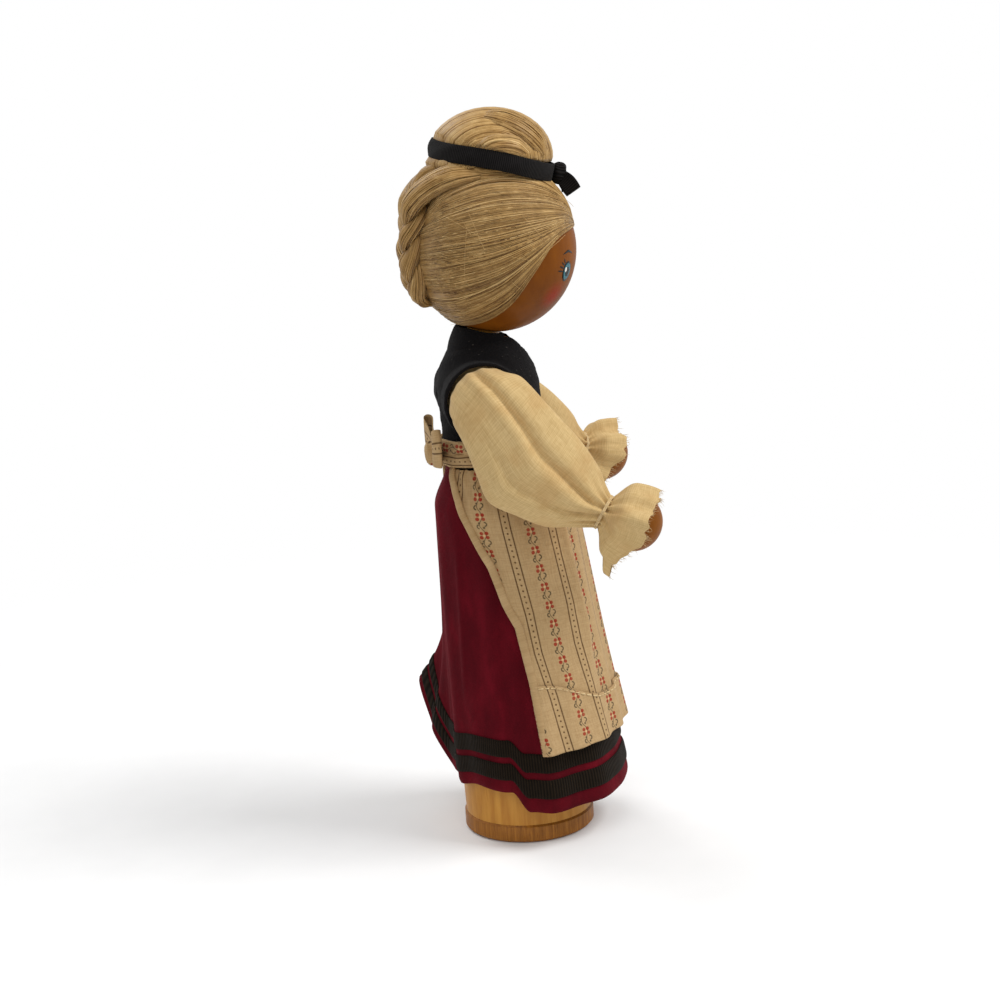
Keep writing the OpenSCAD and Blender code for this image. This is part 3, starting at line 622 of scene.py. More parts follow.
# Skirt: places and folds round it, angle of a soft ridge on its side, stand-off and thickness of its ribbons
SKIRT_COLS = 300
SKIRT_FOLDS = 9
RIDGE_AT = 142
RIBBON_OFF = 0.06
RIBBON_T = 0.4


def skirt_point(angle, down, off):
    """Angle from the front towards the right hand in degrees, and share of the way down."""
    angle, down, off = np.broadcast_arrays(np.asarray(angle, float), down, off)
    hem = table_at(HEM_SHARES, angle % 360)
    puff = SKIRT_WAIST_R + (SKIRT_PUFF_R - SKIRT_WAIST_R) * ease((down - BAND_SHARE) / PUFF_SHARE)
    swing = (hem[..., 1] * SKIRT_HEM_R - SKIRT_PUFF_R) * np.maximum(down, 0) ** hem[..., 3]
    fold = SKIRT_FOLD * down * np.cos(np.radians(SKIRT_FOLDS * angle))
    soft = 0.3 * down * np.sin(np.radians(4 * angle) + 5 * down)
    soft = soft + 0.22 * ease(down * 3) * np.sin(np.radians(13 * angle) + 3 * down)
    ridge = 0.45 * bell(angle - RIDGE_AT - 10 * (down - 0.5), 3.5)
    ridge = ridge * ease((down - 0.22) * 8) * ease((0.78 - down) * 6)
    r = puff + swing + fold + soft + ridge + off
    h = WAIST_H - down * SKIRT_L * (1 - down * hem[..., 2])
    a = np.radians(angle)
    return body_place(xyz(-r * np.sin(a), -r * np.cos(a), h))


def skirt_band(name, shares, off, thick, rows, finish):
    """A closed band of cloth on the skirt between two shares of the way down."""
    angle = np.linspace(0, 360, SKIRT_COLS, endpoint=False)[None, :]
    down = np.linspace(*shares, rows)[:, None]
    edge = np.minimum(np.arange(rows), np.arange(rows)[::-1])
    round_off = np.where(edge == 0, 0.45 * thick, np.where(edge == 1, 0.12 * thick, 0.0))[:, None]
    outer = skirt_point(angle, down, off + thick - round_off)
    inner = skirt_point(angle, down, off + round_off * 0.4)
    flat = flat_places(np.radians(angle) * 0.75 * SKIRT_HEM_R, down * SKIRT_L)
    return cloth(name, outer, inner, True, flat, "figure", finish)


skirt = skirt_band("skirt_cloth", (0.0, 1.0), -SKIRT_T, SKIRT_T, 110, VELVET)
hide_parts("skirt")
LOWER = np.array([1 - (HEM_MARGIN + RIBBON_W) / SKIRT_L, 1 - HEM_MARGIN / SKIRT_L])
STEP = (RIBBON_W + RIBBON_GAP) / SKIRT_L
for word, shares in (("lower", LOWER), ("upper", LOWER - STEP)):
    ribbon = skirt_band(f"skirt_ribbon_{word}_cloth", shares, RIBBON_OFF, RIBBON_T, 10, TRIM)
    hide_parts(f"skirt_ribbon_{word}")


# Apron: its folds, the half angle of its front, the bottom hem's top as shares of the way down, and its edges
APRON_FOLDS = 8
APRON_GATHERS = 26
FRONT_HALF = 75
HEM_TOP_SHARE = 0.85
HEM_DIP_SHARE = 0.1
APRON_COLS = 240
SIDE_HEM_ROWS = 120
SIDE_HEM_SIDES = 10
SIDE_HEM_R = 1.05
STITCH_R = 0.2


def apron_point(across, share, off):
    """Across runs from 1 at the right edge to -1 at the left edge."""
    across, share, off = np.broadcast_arrays(np.asarray(across, float), share, off)
    half = np.interp(np.clip(share, 0, 1), *APRON_SHARES.T)
    down = (BAND_DROP + 0.3 + share * APRON_L) / SKIRT_L
    fold = APRON_FOLD * share * (1 + np.cos(np.pi * APRON_FOLDS * across)) / 2
    gather = 0.35 * np.exp(-np.abs(share) * 9) * np.cos(np.pi * APRON_GATHERS * across)
    gather = gather + 0.25 * np.sin(9 * across + 7 * share) * share
    pleat = 1.5 * bell(across - 0.36 - 0.14 * share, 0.045)
    pleat = pleat * ease((share - 0.06) * 6) * ease((0.8 - share) * 4)
    # The top is tucked under the waistband, most of all at the front
    front = ease(1 - np.abs(half * across) / FRONT_HALF)
    tuck = (1.7 + 1.6 * front) * ease((0.03 - share) / 0.06)
    return skirt_point(half * across, down, APRON_OUT + fold + gather + pleat + off - tuck)


def apron_out(across, share):
    """Unit vectors out of the apron."""
    return unit(apron_point(across, share, 2.0) - apron_point(across, share, 1.0))


def hem_dip(across):
    """How far the top of the bottom hem has risen towards the sides, from 0 to 1."""
    return ease((np.abs(across) - 0.35) / 0.65)


def apron_cloth(name, shares, off, rows, edge=1.0, dip=0.0):
    """The apron or its hem. Columns of the print keep their width, so the slanted edge cuts across them."""
    across = np.linspace(edge, -edge, APRON_COLS)[None, :]
    top = shares[0] - dip * hem_dip(across)
    share = top + (shares[1] - top) * np.linspace(0, 1, rows)[:, None]
    outer = apron_point(across, share, off + APRON_T)
    inner = apron_point(across, share, off)
    angle = across * np.interp(share, *APRON_SHARES.T)
    mean_r = SKIRT_PUFF_R + 0.4 + 6.6 * share ** 1.2
    column = STRIPE_AT + np.radians(np.interp(share, *STRIPE_SHARES.T) - angle) * mean_r
    flat = flat_places(column, share * APRON_L)
    return cloth(name, outer, inner, False, flat, "figure", PRINT)


def side_hem(across, word):
    """A rolled hem down one side of the apron."""
    share = np.linspace(0, 0.99, SIDE_HEM_ROWS)[None, :]
    path = apron_point(across, share, 1.3 * APRON_T + 0.2 * np.sin(24 * share))
    points, faces = tubes(path, apron_out(across, share), SIDE_HEM_R, SIDE_HEM_SIDES, 0.6)
    flat = np.repeat(flat_places(5.0, share * APRON_L), SIDE_HEM_SIDES, axis=0)
    return make(f"apron_side_hem_{word}", points, faces, "figure", PRINT, flat)


def hem_stitches():
    """Stitches along the top of the bottom hem."""
    steps = np.linspace(0, 0.034, 6)
    across = np.arange(-0.985, 0.985, 0.047)[:, None] + steps[None, :]
    share = HEM_TOP_SHARE + 0.008 - HEM_DIP_SHARE * hem_dip(across)
    path = apron_point(across, share, 2 * APRON_T + 0.1 + 0.12 * np.sin(np.pi * steps / steps[-1])[None, :])
    points, faces = tubes(path, apron_out(across, share), STITCH_R, 6)
    return make("apron_stitches", points, faces, "figure", THREAD, points[:, :2])


apron = apron_cloth("apron_cloth", (-0.025, 0.985), 0.0, 150)
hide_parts("apron")
apron_hem = apron_cloth("apron_hem", (HEM_TOP_SHARE, 1.0), APRON_T + 0.12, 44, 1.03, HEM_DIP_SHARE)
side_hems = [side_hem(1.0, "right"), side_hem(-1.0, "left")]
stitches = hem_stitches()


# Waistband in two strips, and the bow: reach, depth, width and thickness of its loops, and half its knot
BOW_REACH = 5.2
BOW_DEEP = 1.9
BOW_W = 6.0
BOW_T = 0.3
BOW_KNOT = (2.2, 1.8, 2.9)


def band_strip(name, top, low, column, bulge):
    """A strip of the waistband between two shares of its height. The print runs round the waist."""
    angle = circle(220)[None, :]
    v = np.linspace(0, 1, 16)[:, None]
    share = top + (low - top) * v
    height = WAIST_H + BAND_RISE + 0.5 - share * (BAND_RISE + BAND_DROP + 0.5)
    height = height + 0.25 * np.sin(3 * angle + 1) + 0.15 * np.sin(7 * angle)
    crumple = 0.14 * np.sin(11 * angle + 4 * v) + 0.12 * np.sin(17 * angle - 5 * v)
    r = BAND_R + BAND_T - 0.3 + bulge * np.sin(np.pi * (0.08 + 0.84 * v)) ** 0.7 + crumple
    low_r = BAND_R + 0.1
    outer, inner = (body_place(xyz(-q * np.sin(angle), -q * np.cos(angle), height)) for q in (r, low_r))
    flat = flat_places(column + (v - 0.5) * 3.4, angle * BAND_R)
    return cloth(name, outer, inner, True, flat, "figure", PRINT)


waistband = band_strip("apron_waistband_cloth", 0.48, 1.0, STRIPE_FIRST, 0.9)
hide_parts("apron_waistband")
waist_fold = band_strip("apron_waistband_fold", 0.0, 0.52, FLOWERS_AT, 0.75)


def bow_loop(side):
    """A loop of the tie that stands off the back of the waist."""
    turn = np.linspace(0.15, 2 * np.pi - 0.15, 60)[None, :]
    v = np.linspace(0, 1, 14)[:, None]
    reach = BOW_REACH * (1 - np.cos(turn))
    deep = BOW_DEEP * np.sin(turn) * np.sin(turn / 2)
    x = side * (0.8 + reach * (1 + 0.12 * np.sin(np.pi * v)))
    y = BAND_R + BAND_T + 1.3 + 0.8 * deep + 0.3 * np.sin(3 * turn + 2 * v)
    z = WAIST_H + BAND_RISE + 0.3 + 0.42 * reach - v * (BOW_W - 1.4 * np.cos(turn) + 0.22 * reach)
    grid = xyz(x, y, z)
    inner = grid - xyz(BOW_T * np.cos(turn), BOW_T * np.sin(turn), 0) * np.ones_like(v)[..., None]
    return shell(body_place(grid), body_place(inner), False, flat_places(9.8 + v * 7.0, turn * 4.0))


def pillow(centre, half, bulge):
    """A rounded lump of cloth, for a knot."""
    rows, cols = 14, 26

    def power(wave):
        return np.sign(wave) * np.abs(wave) ** bulge

    lat = np.linspace(-0.49 * np.pi, 0.49 * np.pi, rows)[:, None]
    lon = circle(cols)[None, :]
    ring = np.cos(lat) ** bulge
    shape = xyz(power(np.cos(lon)) * ring, power(np.sin(lon)) * ring, power(np.sin(lat)))
    wrinkle = 1 + 0.06 * np.sin(5 * lon + 4 * lat)[..., None]
    grid = centre + shape * np.array(half) * wrinkle
    flat = flat_places(10 + 2 * np.sin(lat), lon * 2)
    return grid.reshape(-1, 3), grid_faces(rows, cols, True), flat


knot_place = np.array([0.0, BAND_R + BAND_T + 2.0, WAIST_H + BAND_RISE - 3.2])
points, faces, flat = pillow(knot_place, BOW_KNOT, 0.7)
points, faces, flat = join([bow_loop(-1), bow_loop(1), (body_place(points), faces, flat)])
bow = make("apron_bow_cloth", points, faces, "figure", PRINT, flat)
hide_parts("apron_bow")


def soften(node, name, voxel, finish, fuzz):
    """A solid's mesh made anew from voxels of this size, relaxed, wrinkled and roughened."""
    piece = show(name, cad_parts[node].data.copy())
    piece.data.materials.clear()
    piece.data.materials.append(finish)
    remesh = piece.modifiers.new("remesh", "REMESH")
    remesh.mode = "VOXEL"
    remesh.voxel_size = voxel * MM
    relax = piece.modifiers.new("relax", "SMOOTH")
    relax.iterations = 6
    relax.factor = 0.5
    bpy.context.view_layer.update()
    graph = bpy.context.evaluated_depsgraph_get()
    mesh = bpy.data.meshes.new_from_object(piece.evaluated_get(graph))
    piece.modifiers.clear()
    piece.data = mesh

    def read(what):
        values = np.empty(len(mesh.vertices) * 3, np.float32)
        mesh.vertices.foreach_get(what, values)
        return values.reshape(-1, 3)

    p = read("co") / MM
    soft = np.sin(0.9 * p[:, 2] + 0.5 * p[:, 0]) * np.sin(0.7 * p[:, 1] + 0.6 * p[:, 2])
    rough = np.random.default_rng(5).normal(0, 1, len(p))
    moved = p + read("normal") * (0.12 * soft + fuzz * rough)[:, None]
    mesh.vertices.foreach_set("co", (moved * MM).astype(np.float32).ravel())
    lay_flat(mesh, xyz(12 * np.arctan2(p[:, 0], -p[:, 1]), p[:, 2]))
    mesh.polygons.foreach_set("use_smooth", [True] * len(mesh.polygons))
    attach(piece, "figure")
    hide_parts(node)
    return piece


vest = soften("vest", "vest_felt", 0.38, FELT, 0.02)


def collar():
    """The vest's felt rises round the neck to just below the head, open at the front."""
    profile = np.array([
        [8.2, -6.6], [8.1, -3.4], [7.6, -0.8], [7.1, 0.75], [6.4, 1.0], [5.4, 0.6], [4.7, 0.0], [4.6, -2.5],
    ])
    core = np.array([6.4, -2.6])
    rows, cols = 120, 28
    at = np.linspace(0, len(profile) - 1, cols)
    ring = catmull(profile, at)
    lon = np.radians(np.linspace(38, 322, rows))[:, None]
    close = ease(np.minimum(lon - lon[0], lon[-1] - lon) / 0.25)
    rho = core[0] + (ring[None, :, 0] - core[0]) * (0.25 + 0.75 * close)
    along = core[1] + (ring[None, :, 1] - core[1]) * (0.25 + 0.75 * close) + 0.12 * np.sin(5 * lon)
    side = np.array([1.0, 0, 0])
    front = np.cross(NECK_WAY, side)
    front = front if front[1] < 0 else -front
    points = (NECK_TOP + along[..., None] * NECK_WAY + (rho * np.cos(lon))[..., None] * front
              + (rho * np.sin(lon))[..., None] * side)
    faces = grid_faces(rows, cols, True)
    return make("vest_collar", points.reshape(-1, 3), faces, "figure", FELT,
                flat_places(lon * 7, at[None]))


collar()
blouse = soften("blouse_body", "blouse_cloth", 0.3, LINEN, 0.0)


# Sleeves: size of the grid, how far each frill falls back and curls down, and its loose threads
SLEEVE_ROWS = 150
SLEEVE_COLS = 144
SLEEVE_T = 0.5
WRIST_PLEATS = 13
FRILL_CLEAR = 0.7
FALL_BACK = {-1: 0.5, 1: 0.3}
CURL_DOWN = {-1: 2.2, 1: 0.0}
FRINGE_COUNT = 170
FRINGE_R = 0.05
THREAD_R = 0.22
THREAD_OFF = 0.4
THREAD_STEPS = 120
# Rings at the armhole: sideways place, share along the arm, turn of the ring in degrees, and half height
CAP_RINGS = ((ARMHOLE_X, 0.0, 90, 8.2), (13.6, 0.0, 84, 8.7), (15.6, 0.015, 62, 9.4), (18.0, 0.06, 34, 10.6))
WRIST_RING = len(CAP_RINGS) + len(SLEEVE_SHARES)


def sleeve_frames(side):
    """Rings of the sleeve: middle, droop, turn of its side from back to outwards, and half sizes."""
    drop = ARM_DROP[side]
    start = shoulder_at(side)
    rings = []

    def ring(x, along, up, bend, half_x, half_y):
        run = along * ARM_L * math.cos(ARM_SPLAY[side])
        y = start[1] - run * math.cos(drop) - up * math.sin(drop)
        z = start[2] - run * math.sin(drop) + up * math.cos(drop)
        rings.append([side * x, y, z, drop, bend, half_x, half_y])

    for x, along, bend, half in CAP_RINGS:
        ring(x, along, 0.0, math.radians(bend), half * (0.95 if bend > 50 else 0.75), half)
    for along, rise, half, wide in SLEEVE_SHARES:
        half_x = wide * SLEEVE_SIDE
        low_x = SLEEVE_IN_X + (SKIRT_SIDE_X - SLEEVE_IN_X) * ease((along - 0.08) / 0.54)
        x = max(low_x + half_x, SHOULDER_X + along * ARM_L * math.sin(ARM_SPLAY[side]))
        ring(x, along, rise * SLEEVE_FULL, 0.0, half_x, half * SLEEVE_FULL)
    wrist = wrist_at(side)
    rings.append([*wrist, (drop + HAND_DROP) / 2, 0.0, WRIST_R, WRIST_R])
    for along, wide in FRILL_SHARES:
        middle = wrist + along * FRILL_L[side] * arm_way(side, HAND_DROP)
        rings.append([*middle, HAND_DROP, 0.0, wide * FRILL_R[side], wide * FRILL_R[side]])
    return np.array(rings)


def crease(a, place, depth):
    """A sharp valley between two soft ridges round a ring."""
    off = a - place
    ridges = 0.62 * bell(off - 0.24, 0.17) + 0.4 * bell(off + 0.26, 0.2)
    return depth * (ridges - bell(off, 0.09))


def sleeve_points(side, off):
    """Grid of the sleeve's surface, moved outwards by off."""
    frames = sleeve_frames(side)
    at = np.linspace(0, len(frames) - 1, SLEEVE_ROWS)[:, None]
    ring = catmull(frames, at[:, 0])
    a = circle(SLEEVE_COLS)[None, :]
    drop, bend = ring[:, 3, None], ring[:, 4, None]
    frill = np.clip(at - WRIST_RING, 0, None)
    out_share = np.minimum(frill / 4, 1)
    # Long soft folds on the full sleeve, pleats at the gathers, and waves on the frill
    full = ease(at / 3) * ease((WRIST_RING - at) / 1.5)
    long_fold = crease(a, 1.02 + 0.045 * at, 1.25)
    low_fold = crease(a, 2.12 - 0.025 * at, 0.85) * ease((at - 3) / 2)
    inner_fold = 0.6 * np.sin(3 * a + 0.4 * at)
    uneven = smooth_noise(SLEEVE_COLS, 9, 3 + side) * 1.2
    pleats = 0.55 * bell(at - WRIST_RING, 1.3) * np.sin(WRIST_PLEATS * a + uneven)
    waves = np.minimum(frill / 3, 1) * (0.9 * np.sin(5 * a + 0.8) + 0.5 * np.sin(9 * a + 2.1))
    waves = waves * ease(frill / 2)
    waves = waves + (crease(a, 1.3, 0.8) + crease(a, 2.0, 0.6)) * bell(frill - 1.2, 1.0) * (frill > 0)
    cap = 0.14 * bell(at - 1.6, 0.9) * np.sin(16 * a)
    bumps = full * (long_fold + low_fold + 0.35 * inner_fold) + pleats + waves + cap + off
    # The frill's edge is cut unevenly, with one hanging point below
    ragged = 0.5 * smooth_noise(SLEEVE_COLS, 48, 7 + side) + 0.25 * smooth_noise(SLEEVE_COLS, 17, 9 + side)
    edge = ease(frill - 2.2)
    tip = 5.5 * bell(a - math.pi, 0.16)
    bumps = bumps + edge * tip - CURL_DOWN[side] * out_share ** 2 * ease(np.cos(a))
    # Below, the frill falls back and bares the hand
    back = -FRILL_L[side] * out_share * FALL_BACK[side] * ease(-np.cos(a - 0.25))
    slide = back + edge * ragged
    splay = side * ARM_SPLAY[side] * ease((at - 6) / 3)
    outward = xyz(side * np.cos(bend), np.sin(bend) * np.cos(drop), np.sin(bend) * np.sin(drop))
    turned = side * xyz(np.cos(splay), np.sin(splay) * np.cos(drop), np.sin(splay) * np.sin(drop))
    wide = np.where((bend < 1e-6)[..., None], turned, outward)
    up = xyz(0, -np.sin(drop), np.cos(drop))
    run = xyz(np.sin(splay), -np.cos(splay) * np.cos(drop), -np.cos(splay) * np.sin(drop))
    half_x = ring[:, 5, None] + bumps
    half_y = ring[:, 6, None] + bumps
    points = (ring[:, None, :3] + half_x[..., None] * np.sin(a)[..., None] * wide
              + half_y[..., None] * np.cos(a)[..., None] * up + slide[..., None] * run)
    # The frill lies on the hand and never inside it
    way = arm_way(side, HAND_DROP)
    from_hand = points - wrist_at(side) - HAND_L * way
    far = np.linalg.norm(from_hand, axis=-1)
    beyond = ease(((points - wrist_at(side)) @ way - HAND_BACK) / 1.2 + 0.5) * (frill > 0)
    lift = np.clip(HAND_R + FRILL_CLEAR + off - far, 0, None) * beyond
    return points + (lift / np.maximum(far, 1))[..., None] * from_hand


def fringe(outer, side, word, body):
    """Loose threads at the frill's cut edge."""
    pick = np.random.default_rng(21 + side).integers(0, SLEEVE_COLS, FRINGE_COUNT)
    rng = np.random.default_rng(31 + side)
    length = rng.uniform(0.3, 1.3, FRINGE_COUNT)
    sway = rng.normal(0, 0.35, (FRINGE_COUNT, 3))
    way = unit(outer[-1] - outer[-3])[pick] * length[:, None]
    t = np.linspace(0, 1, 5)[None, :, None]
    path = outer[-1][pick][:, None] + t * way[:, None] + t ** 2 * sway[:, None]
    points, faces = tubes(path, np.array([0.3, 0.2, 0.93]), FRINGE_R * (1.2 - t[..., 0]), 4)
    return make(f"frill_fringe_{word}", points, faces, body, THREAD, points[:, :2])


def sleeve(side, word, body):
    """A sleeve with its frill and fringe."""
    outer = sleeve_points(side, 0.0)
    inner = sleeve_points(side, -SLEEVE_T)
    steps = np.linalg.norm(np.diff(outer.mean(1), axis=0), axis=1)
    along = np.concatenate([[0], np.cumsum(steps)])[:, None]
    flat = flat_places(np.linspace(0, 60, SLEEVE_COLS)[None, :], along)
    piece = cloth(f"sleeve_{word}_cloth", outer, inner, True, flat, body, LINEN)
    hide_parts(f"sleeve_{word}")
    loose = fringe(outer, side, word, body)


def wrist_thread(side, word, body):
    """Two turns of thread round the gathered wrist."""
    turn = np.linspace(0, 4 * np.pi, THREAD_STEPS)[:, None]
    shift = np.linspace(-0.35, 0.35, THREAD_STEPS)[:, None]
    drop = (ARM_DROP[side] + HAND_DROP) / 2
    splay = ARM_SPLAY[side]
    aside = side * math.sin(splay)
    across = np.array([math.cos(splay), aside * math.cos(drop), aside * math.sin(drop)])
    up = np.array([0, -math.sin(drop), math.cos(drop)])
    r = WRIST_R + THREAD_OFF + 0.18 * np.sin(WRIST_PLEATS * turn)
    path = wrist_at(side) + r * (np.cos(turn) * across + np.sin(turn) * up) + shift * arm_way(side, drop)
    out = unit(path - wrist_at(side))
    p, f = tubes(path[None], out[None], THREAD_R, 8)
    piece = make(f"wrist_thread_{word}_twist", p, f, body, THREAD, p[:, :2] * 3)
    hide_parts(f"wrist_thread_{word}")


for side, word in ((-1, "right"), (1, "left")):
    sleeve(side, word, f"{word}_arm")
    wrist_thread(side, word, f"{word}_arm")


# Hair: lift at the hairline, the braid, the bun and its ribbon, painted-shade tone of the layers below, sides
# of strands
EDGE_LIFT = 0.25
BRAID_TURNS = 1.75
BRAID_SIDE = 4.7
BRAID_DEEP = 1.25
BUN_LOW_H = math.sqrt((HEAD_R + 0.3 + BUN_ROPE_R) ** 2 - BUN_LOW_R ** 2) + 0.15
BUN_UP = np.array([0, 0, BUN_LOW_H])
BUN_R = 15.2
BUN_TOP_H = 12.0
BUN_UNDER_H = 6.5
CROWN_R = 12.0
CROWN_SINK = 7.0
RIBBON_UP = np.array([0, 0, BUN_LOW_H - 0.2])
KNOT_Y = -17.2
# The layers under the strands are darker than the strands: painted shade.
SHADED_LAYER_TONE = 0.42
STRAND_SIDES = 3
CORE_SIDES = 18


def hair_reach(way):
    """Distance of the hair's surface from the middle of the head, along unit vectors."""
    ahead = way @ HAIR_SHIFT
    full = ahead + np.sqrt(HAIR_R ** 2 - HAIR_SHIFT @ HAIR_SHIFT + ahead ** 2)
    face = np.array([0.0, -math.sin(math.pi / 2 + HAIRLINE_SLOPE), math.cos(math.pi / 2 + HAIRLINE_SLOPE)])
    behind = HAIRLINE_DROP / HEAD_R - way @ face
    edge = ease(behind / 0.28)
    return HEAD_R + EDGE_LIFT + (full - HEAD_R - EDGE_LIFT) * edge


# Ways of the strands of a side as outward, forward and up: along the top, the middle and the hairline
SIDE_KEYS = np.array([
    [[0.0, 0.97, 0.24], [0.02, 0.8, 0.6], [0.04, 0.45, 0.89],
     [0.1, 0.0, 1.0], [0.2, -0.5, 0.85], [0.06, -0.8, 0.6]],
    [[0.1, 0.96, 0.26], [0.55, 0.76, 0.34], [0.88, 0.37, 0.3],
     [0.965, -0.12, 0.22], [0.76, -0.63, 0.14], [0.03, -0.99, 0.03]],
    [[0.2, 0.95, 0.24], [0.76, 0.63, 0.14], [0.92, 0.33, -0.22],
     [0.8, 0.03, -0.6], [0.44, -0.36, -0.82], [0.01, -0.62, -0.785]],
])
# The sides sink under the braid between these shares of their strands
SINK_FROM = 0.76
SINK_TO = 0.92


def sink_under(way, t):
    """How far a side's hair dips to pass under the braid."""
    return (hair_reach(way) - HEAD_R - 0.5) * ease((t - SINK_FROM) / (SINK_TO - SINK_FROM))


def side_way(side, row, t):
    """Unit vectors along the strands of one side: row 0 lies at the top and row 1 along the hairline."""
    row, t = np.broadcast_arrays(np.asarray(row, float), np.asarray(t, float))
    weights = np.stack([2 * (row - 0.5) * (row - 1), 4 * row * (1 - row), 2 * row * (row - 0.5)], -1)
    keys = np.einsum("...w,wkc->...kc", weights, SIDE_KEYS)
    last = SIDE_KEYS.shape[1] - 1
    at = t * last
    k = np.clip(at.astype(int), 0, last - 1)

    def key(j):
        return np.take_along_axis(keys, np.clip(j, 0, last)[..., None, None], axis=-2)[..., 0, :]

    way = unit(between(key(k - 1), key(k), key(k + 1), key(k + 2), (at - k)[..., None]))
    return way * [side, -1, 1]


def strands(path, way, thick, squash, row, t, tone):
    """Strands of hair along paths, as points, faces, flat places and tones."""
    points, faces = tubes(path, way, thick, STRAND_SIDES, squash)
    flat = np.repeat(flat_places(row, t), STRAND_SIDES, axis=0)
    return points, faces, flat, np.repeat(np.clip(tone, 0.05, 1), path.shape[1] * STRAND_SIDES)


def hair_side(side, word):
    """A layer of hair on one side of the head, and the combed strands on it."""
    row = np.linspace(0, 1, 90)[:, None]
    t = np.linspace(0, 1, 70)[None, :]
    way = side_way(side, row, t)
    base = HEAD_C + way * (hair_reach(way) - 0.2 - 0.9 * sink_under(way, t))[..., None]
    inner = HEAD_C + way * (HEAD_R + 0.04)
    flat = flat_places(row, t)
    # Painted shade: the layer under the strands has a darker tone than they do.
    dark = np.full(2 * len(flat), SHADED_LAYER_TONE)
    piece = cloth(f"hair_side_{word}_base", base, inner, False, flat, "head", FLAX, dark)
    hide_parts(f"hair_side_{word}")
    count, steps = 1500, 22
    rng = np.random.default_rng(41 + side)
    row = np.sort(rng.uniform(0, 1, count))[:, None]
    first = rng.uniform(0, 0.12, count)[:, None] * (rng.random(count) < 0.5)[:, None]
    last = 1 - rng.uniform(0, 0.06, count)[:, None]
    t = first + (last - first) * np.linspace(0, 1, steps)[None, :]
    stray = np.where(rng.random(count) < 0.12, 5.0, 1.0)
    sway = (rng.normal(0, 0.006, count) * stray)[:, None] * np.sin(np.pi * t)
    sway = sway + 0.004 * np.sin(7 * t + rng.uniform(0, 6, count)[:, None])
    way = side_way(side, np.clip(row + sway, 0, 1), t)
    # Clumps raise and sink rows of strands, and the strands' tone follows the clumps too, lighter where
    # raised and darker where sunk: painted light and shade.
    clump = 0.07 * np.sin(row * 90 + 4 * np.sin(row * 13)) + 0.07 * np.sin(row * 37 + 1)
    lift = rng.uniform(-0.2, 0.15, count)[:, None] + clump - sink_under(way, t)
    path = HEAD_C + way * (hair_reach(way) + lift)[..., None]
    taper = 0.25 + 0.75 * np.sin(np.pi * np.linspace(0.04, 0.96, steps))
    thick = rng.uniform(0.07, 0.19, count)[:, None] * taper[None, :]
    # Painted shade: strands lower on the side, towards the hairline, are darker.
    painted_shade_low = 0.16 * ease((row[:, 0] - 0.4) / 0.5)
    tone = rng.normal(0.52, 0.16, count) + 0.5 * clump[:, 0] + 0.05 * stray - painted_shade_low
    hair_piece(f"hair_side_{word}_strands", [strands(path, way, thick, 0.8, row, t, tone)], tied=False)


def lock(path, out, half_w, half_h, seed, count, mean=0.52):
    """A lock of hair along a path: a core and the strands on it, as points, faces, flat places and tones."""
    rng = np.random.default_rng(seed)
    steps = len(path)
    run = unit(np.gradient(path, axis=0))
    across = unit(np.cross(run, out))
    out = np.cross(across, run)
    ends = np.clip(np.minimum(np.arange(steps), np.arange(steps)[::-1]) / 12, 0.08, 1)[:, None] ** 0.6
    turn = circle(CORE_SIDES)[None]

    def ring(half, wave, way):
        return (ends * half * wave)[..., None] * way[:, None]

    core = path[:, None] + ring(half_w * 0.93, np.cos(turn), across) + ring(half_h * 0.93, np.sin(turn), out)
    share = np.linspace(0, 1, steps)
    # Painted shade: the core under the strands is darker than their mean tone.
    dark = np.full(steps * CORE_SIDES, mean - 0.1)
    flat = flat_places(turn / 9, share[:, None])
    core = (core.reshape(-1, 3), grid_faces(steps, CORE_SIDES, True), flat, dark)
    angle = rng.uniform(0, 2 * np.pi, count)[:, None]
    angle = angle + rng.normal(0, 0.35, count)[:, None] * (share - 0.5)[None]
    lift = ends[:, 0] * (1 + rng.uniform(-0.06, 0.08, count)[:, None])
    wide, high = np.cos(angle)[..., None] * across, np.sin(angle)[..., None] * out
    strand = path + lift[..., None] * (half_w * wide + half_h * high)
    thick = rng.uniform(0.14, 0.3, count)[:, None] * np.clip(ends[:, 0], 0.4, 1)[None]
    tone = rng.normal(mean, 0.12, count)
    return [core, strands(strand, unit(wide + high), thick, 0.9, angle / 9, share[None], tone)]


def hair_piece(name, parts, node=None, tied=True):
    """A piece of flax from its parts, drawn in by the ribbon where it is tied."""
    points, faces, flat, tone = join(parts)
    if tied:
        points = cinch(points)
    piece = make(name, points, faces, "head", FLAX, flat, tone)
    if node:
        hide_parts(node)


def ribbon_place(p):
    """From the ribbon's own frame to the doll's."""
    c, s = math.cos(HAIR_RIBBON_TILT), math.sin(HAIR_RIBBON_TILT)
    x, y, z = p[..., 0], p[..., 1], p[..., 2]
    return xyz(x, y * c - z * s, y * s + z * c) + HEAD_C + RIBBON_UP


def ribbon_r(a):
    """Radius of the hair ribbon round the bun, from 0 at the back."""
    return 15.7 - 0.8 * ease(np.cos(a)) + 0.12 * np.sin(6 * a) + 0.2 * np.sin(2 * a + 1)


def cinch(p):
    """Hair drawn in where the ribbon ties it."""
    c, s = math.cos(HAIR_RIBBON_TILT), math.sin(HAIR_RIBBON_TILT)
    x, y, z = (p - HEAD_C - RIBBON_UP).T
    y, z = y * c + z * s, z * c - y * s
    limit = ribbon_r(np.arctan2(x, y)) - 0.8 + 1.2 * np.clip(np.abs(z) - HAIR_RIBBON_W / 2, 0, None)
    drawn = np.minimum(1, limit / np.maximum(np.hypot(x, y), 1))
    return ribbon_place(np.stack([x * drawn, y * drawn, z], -1))


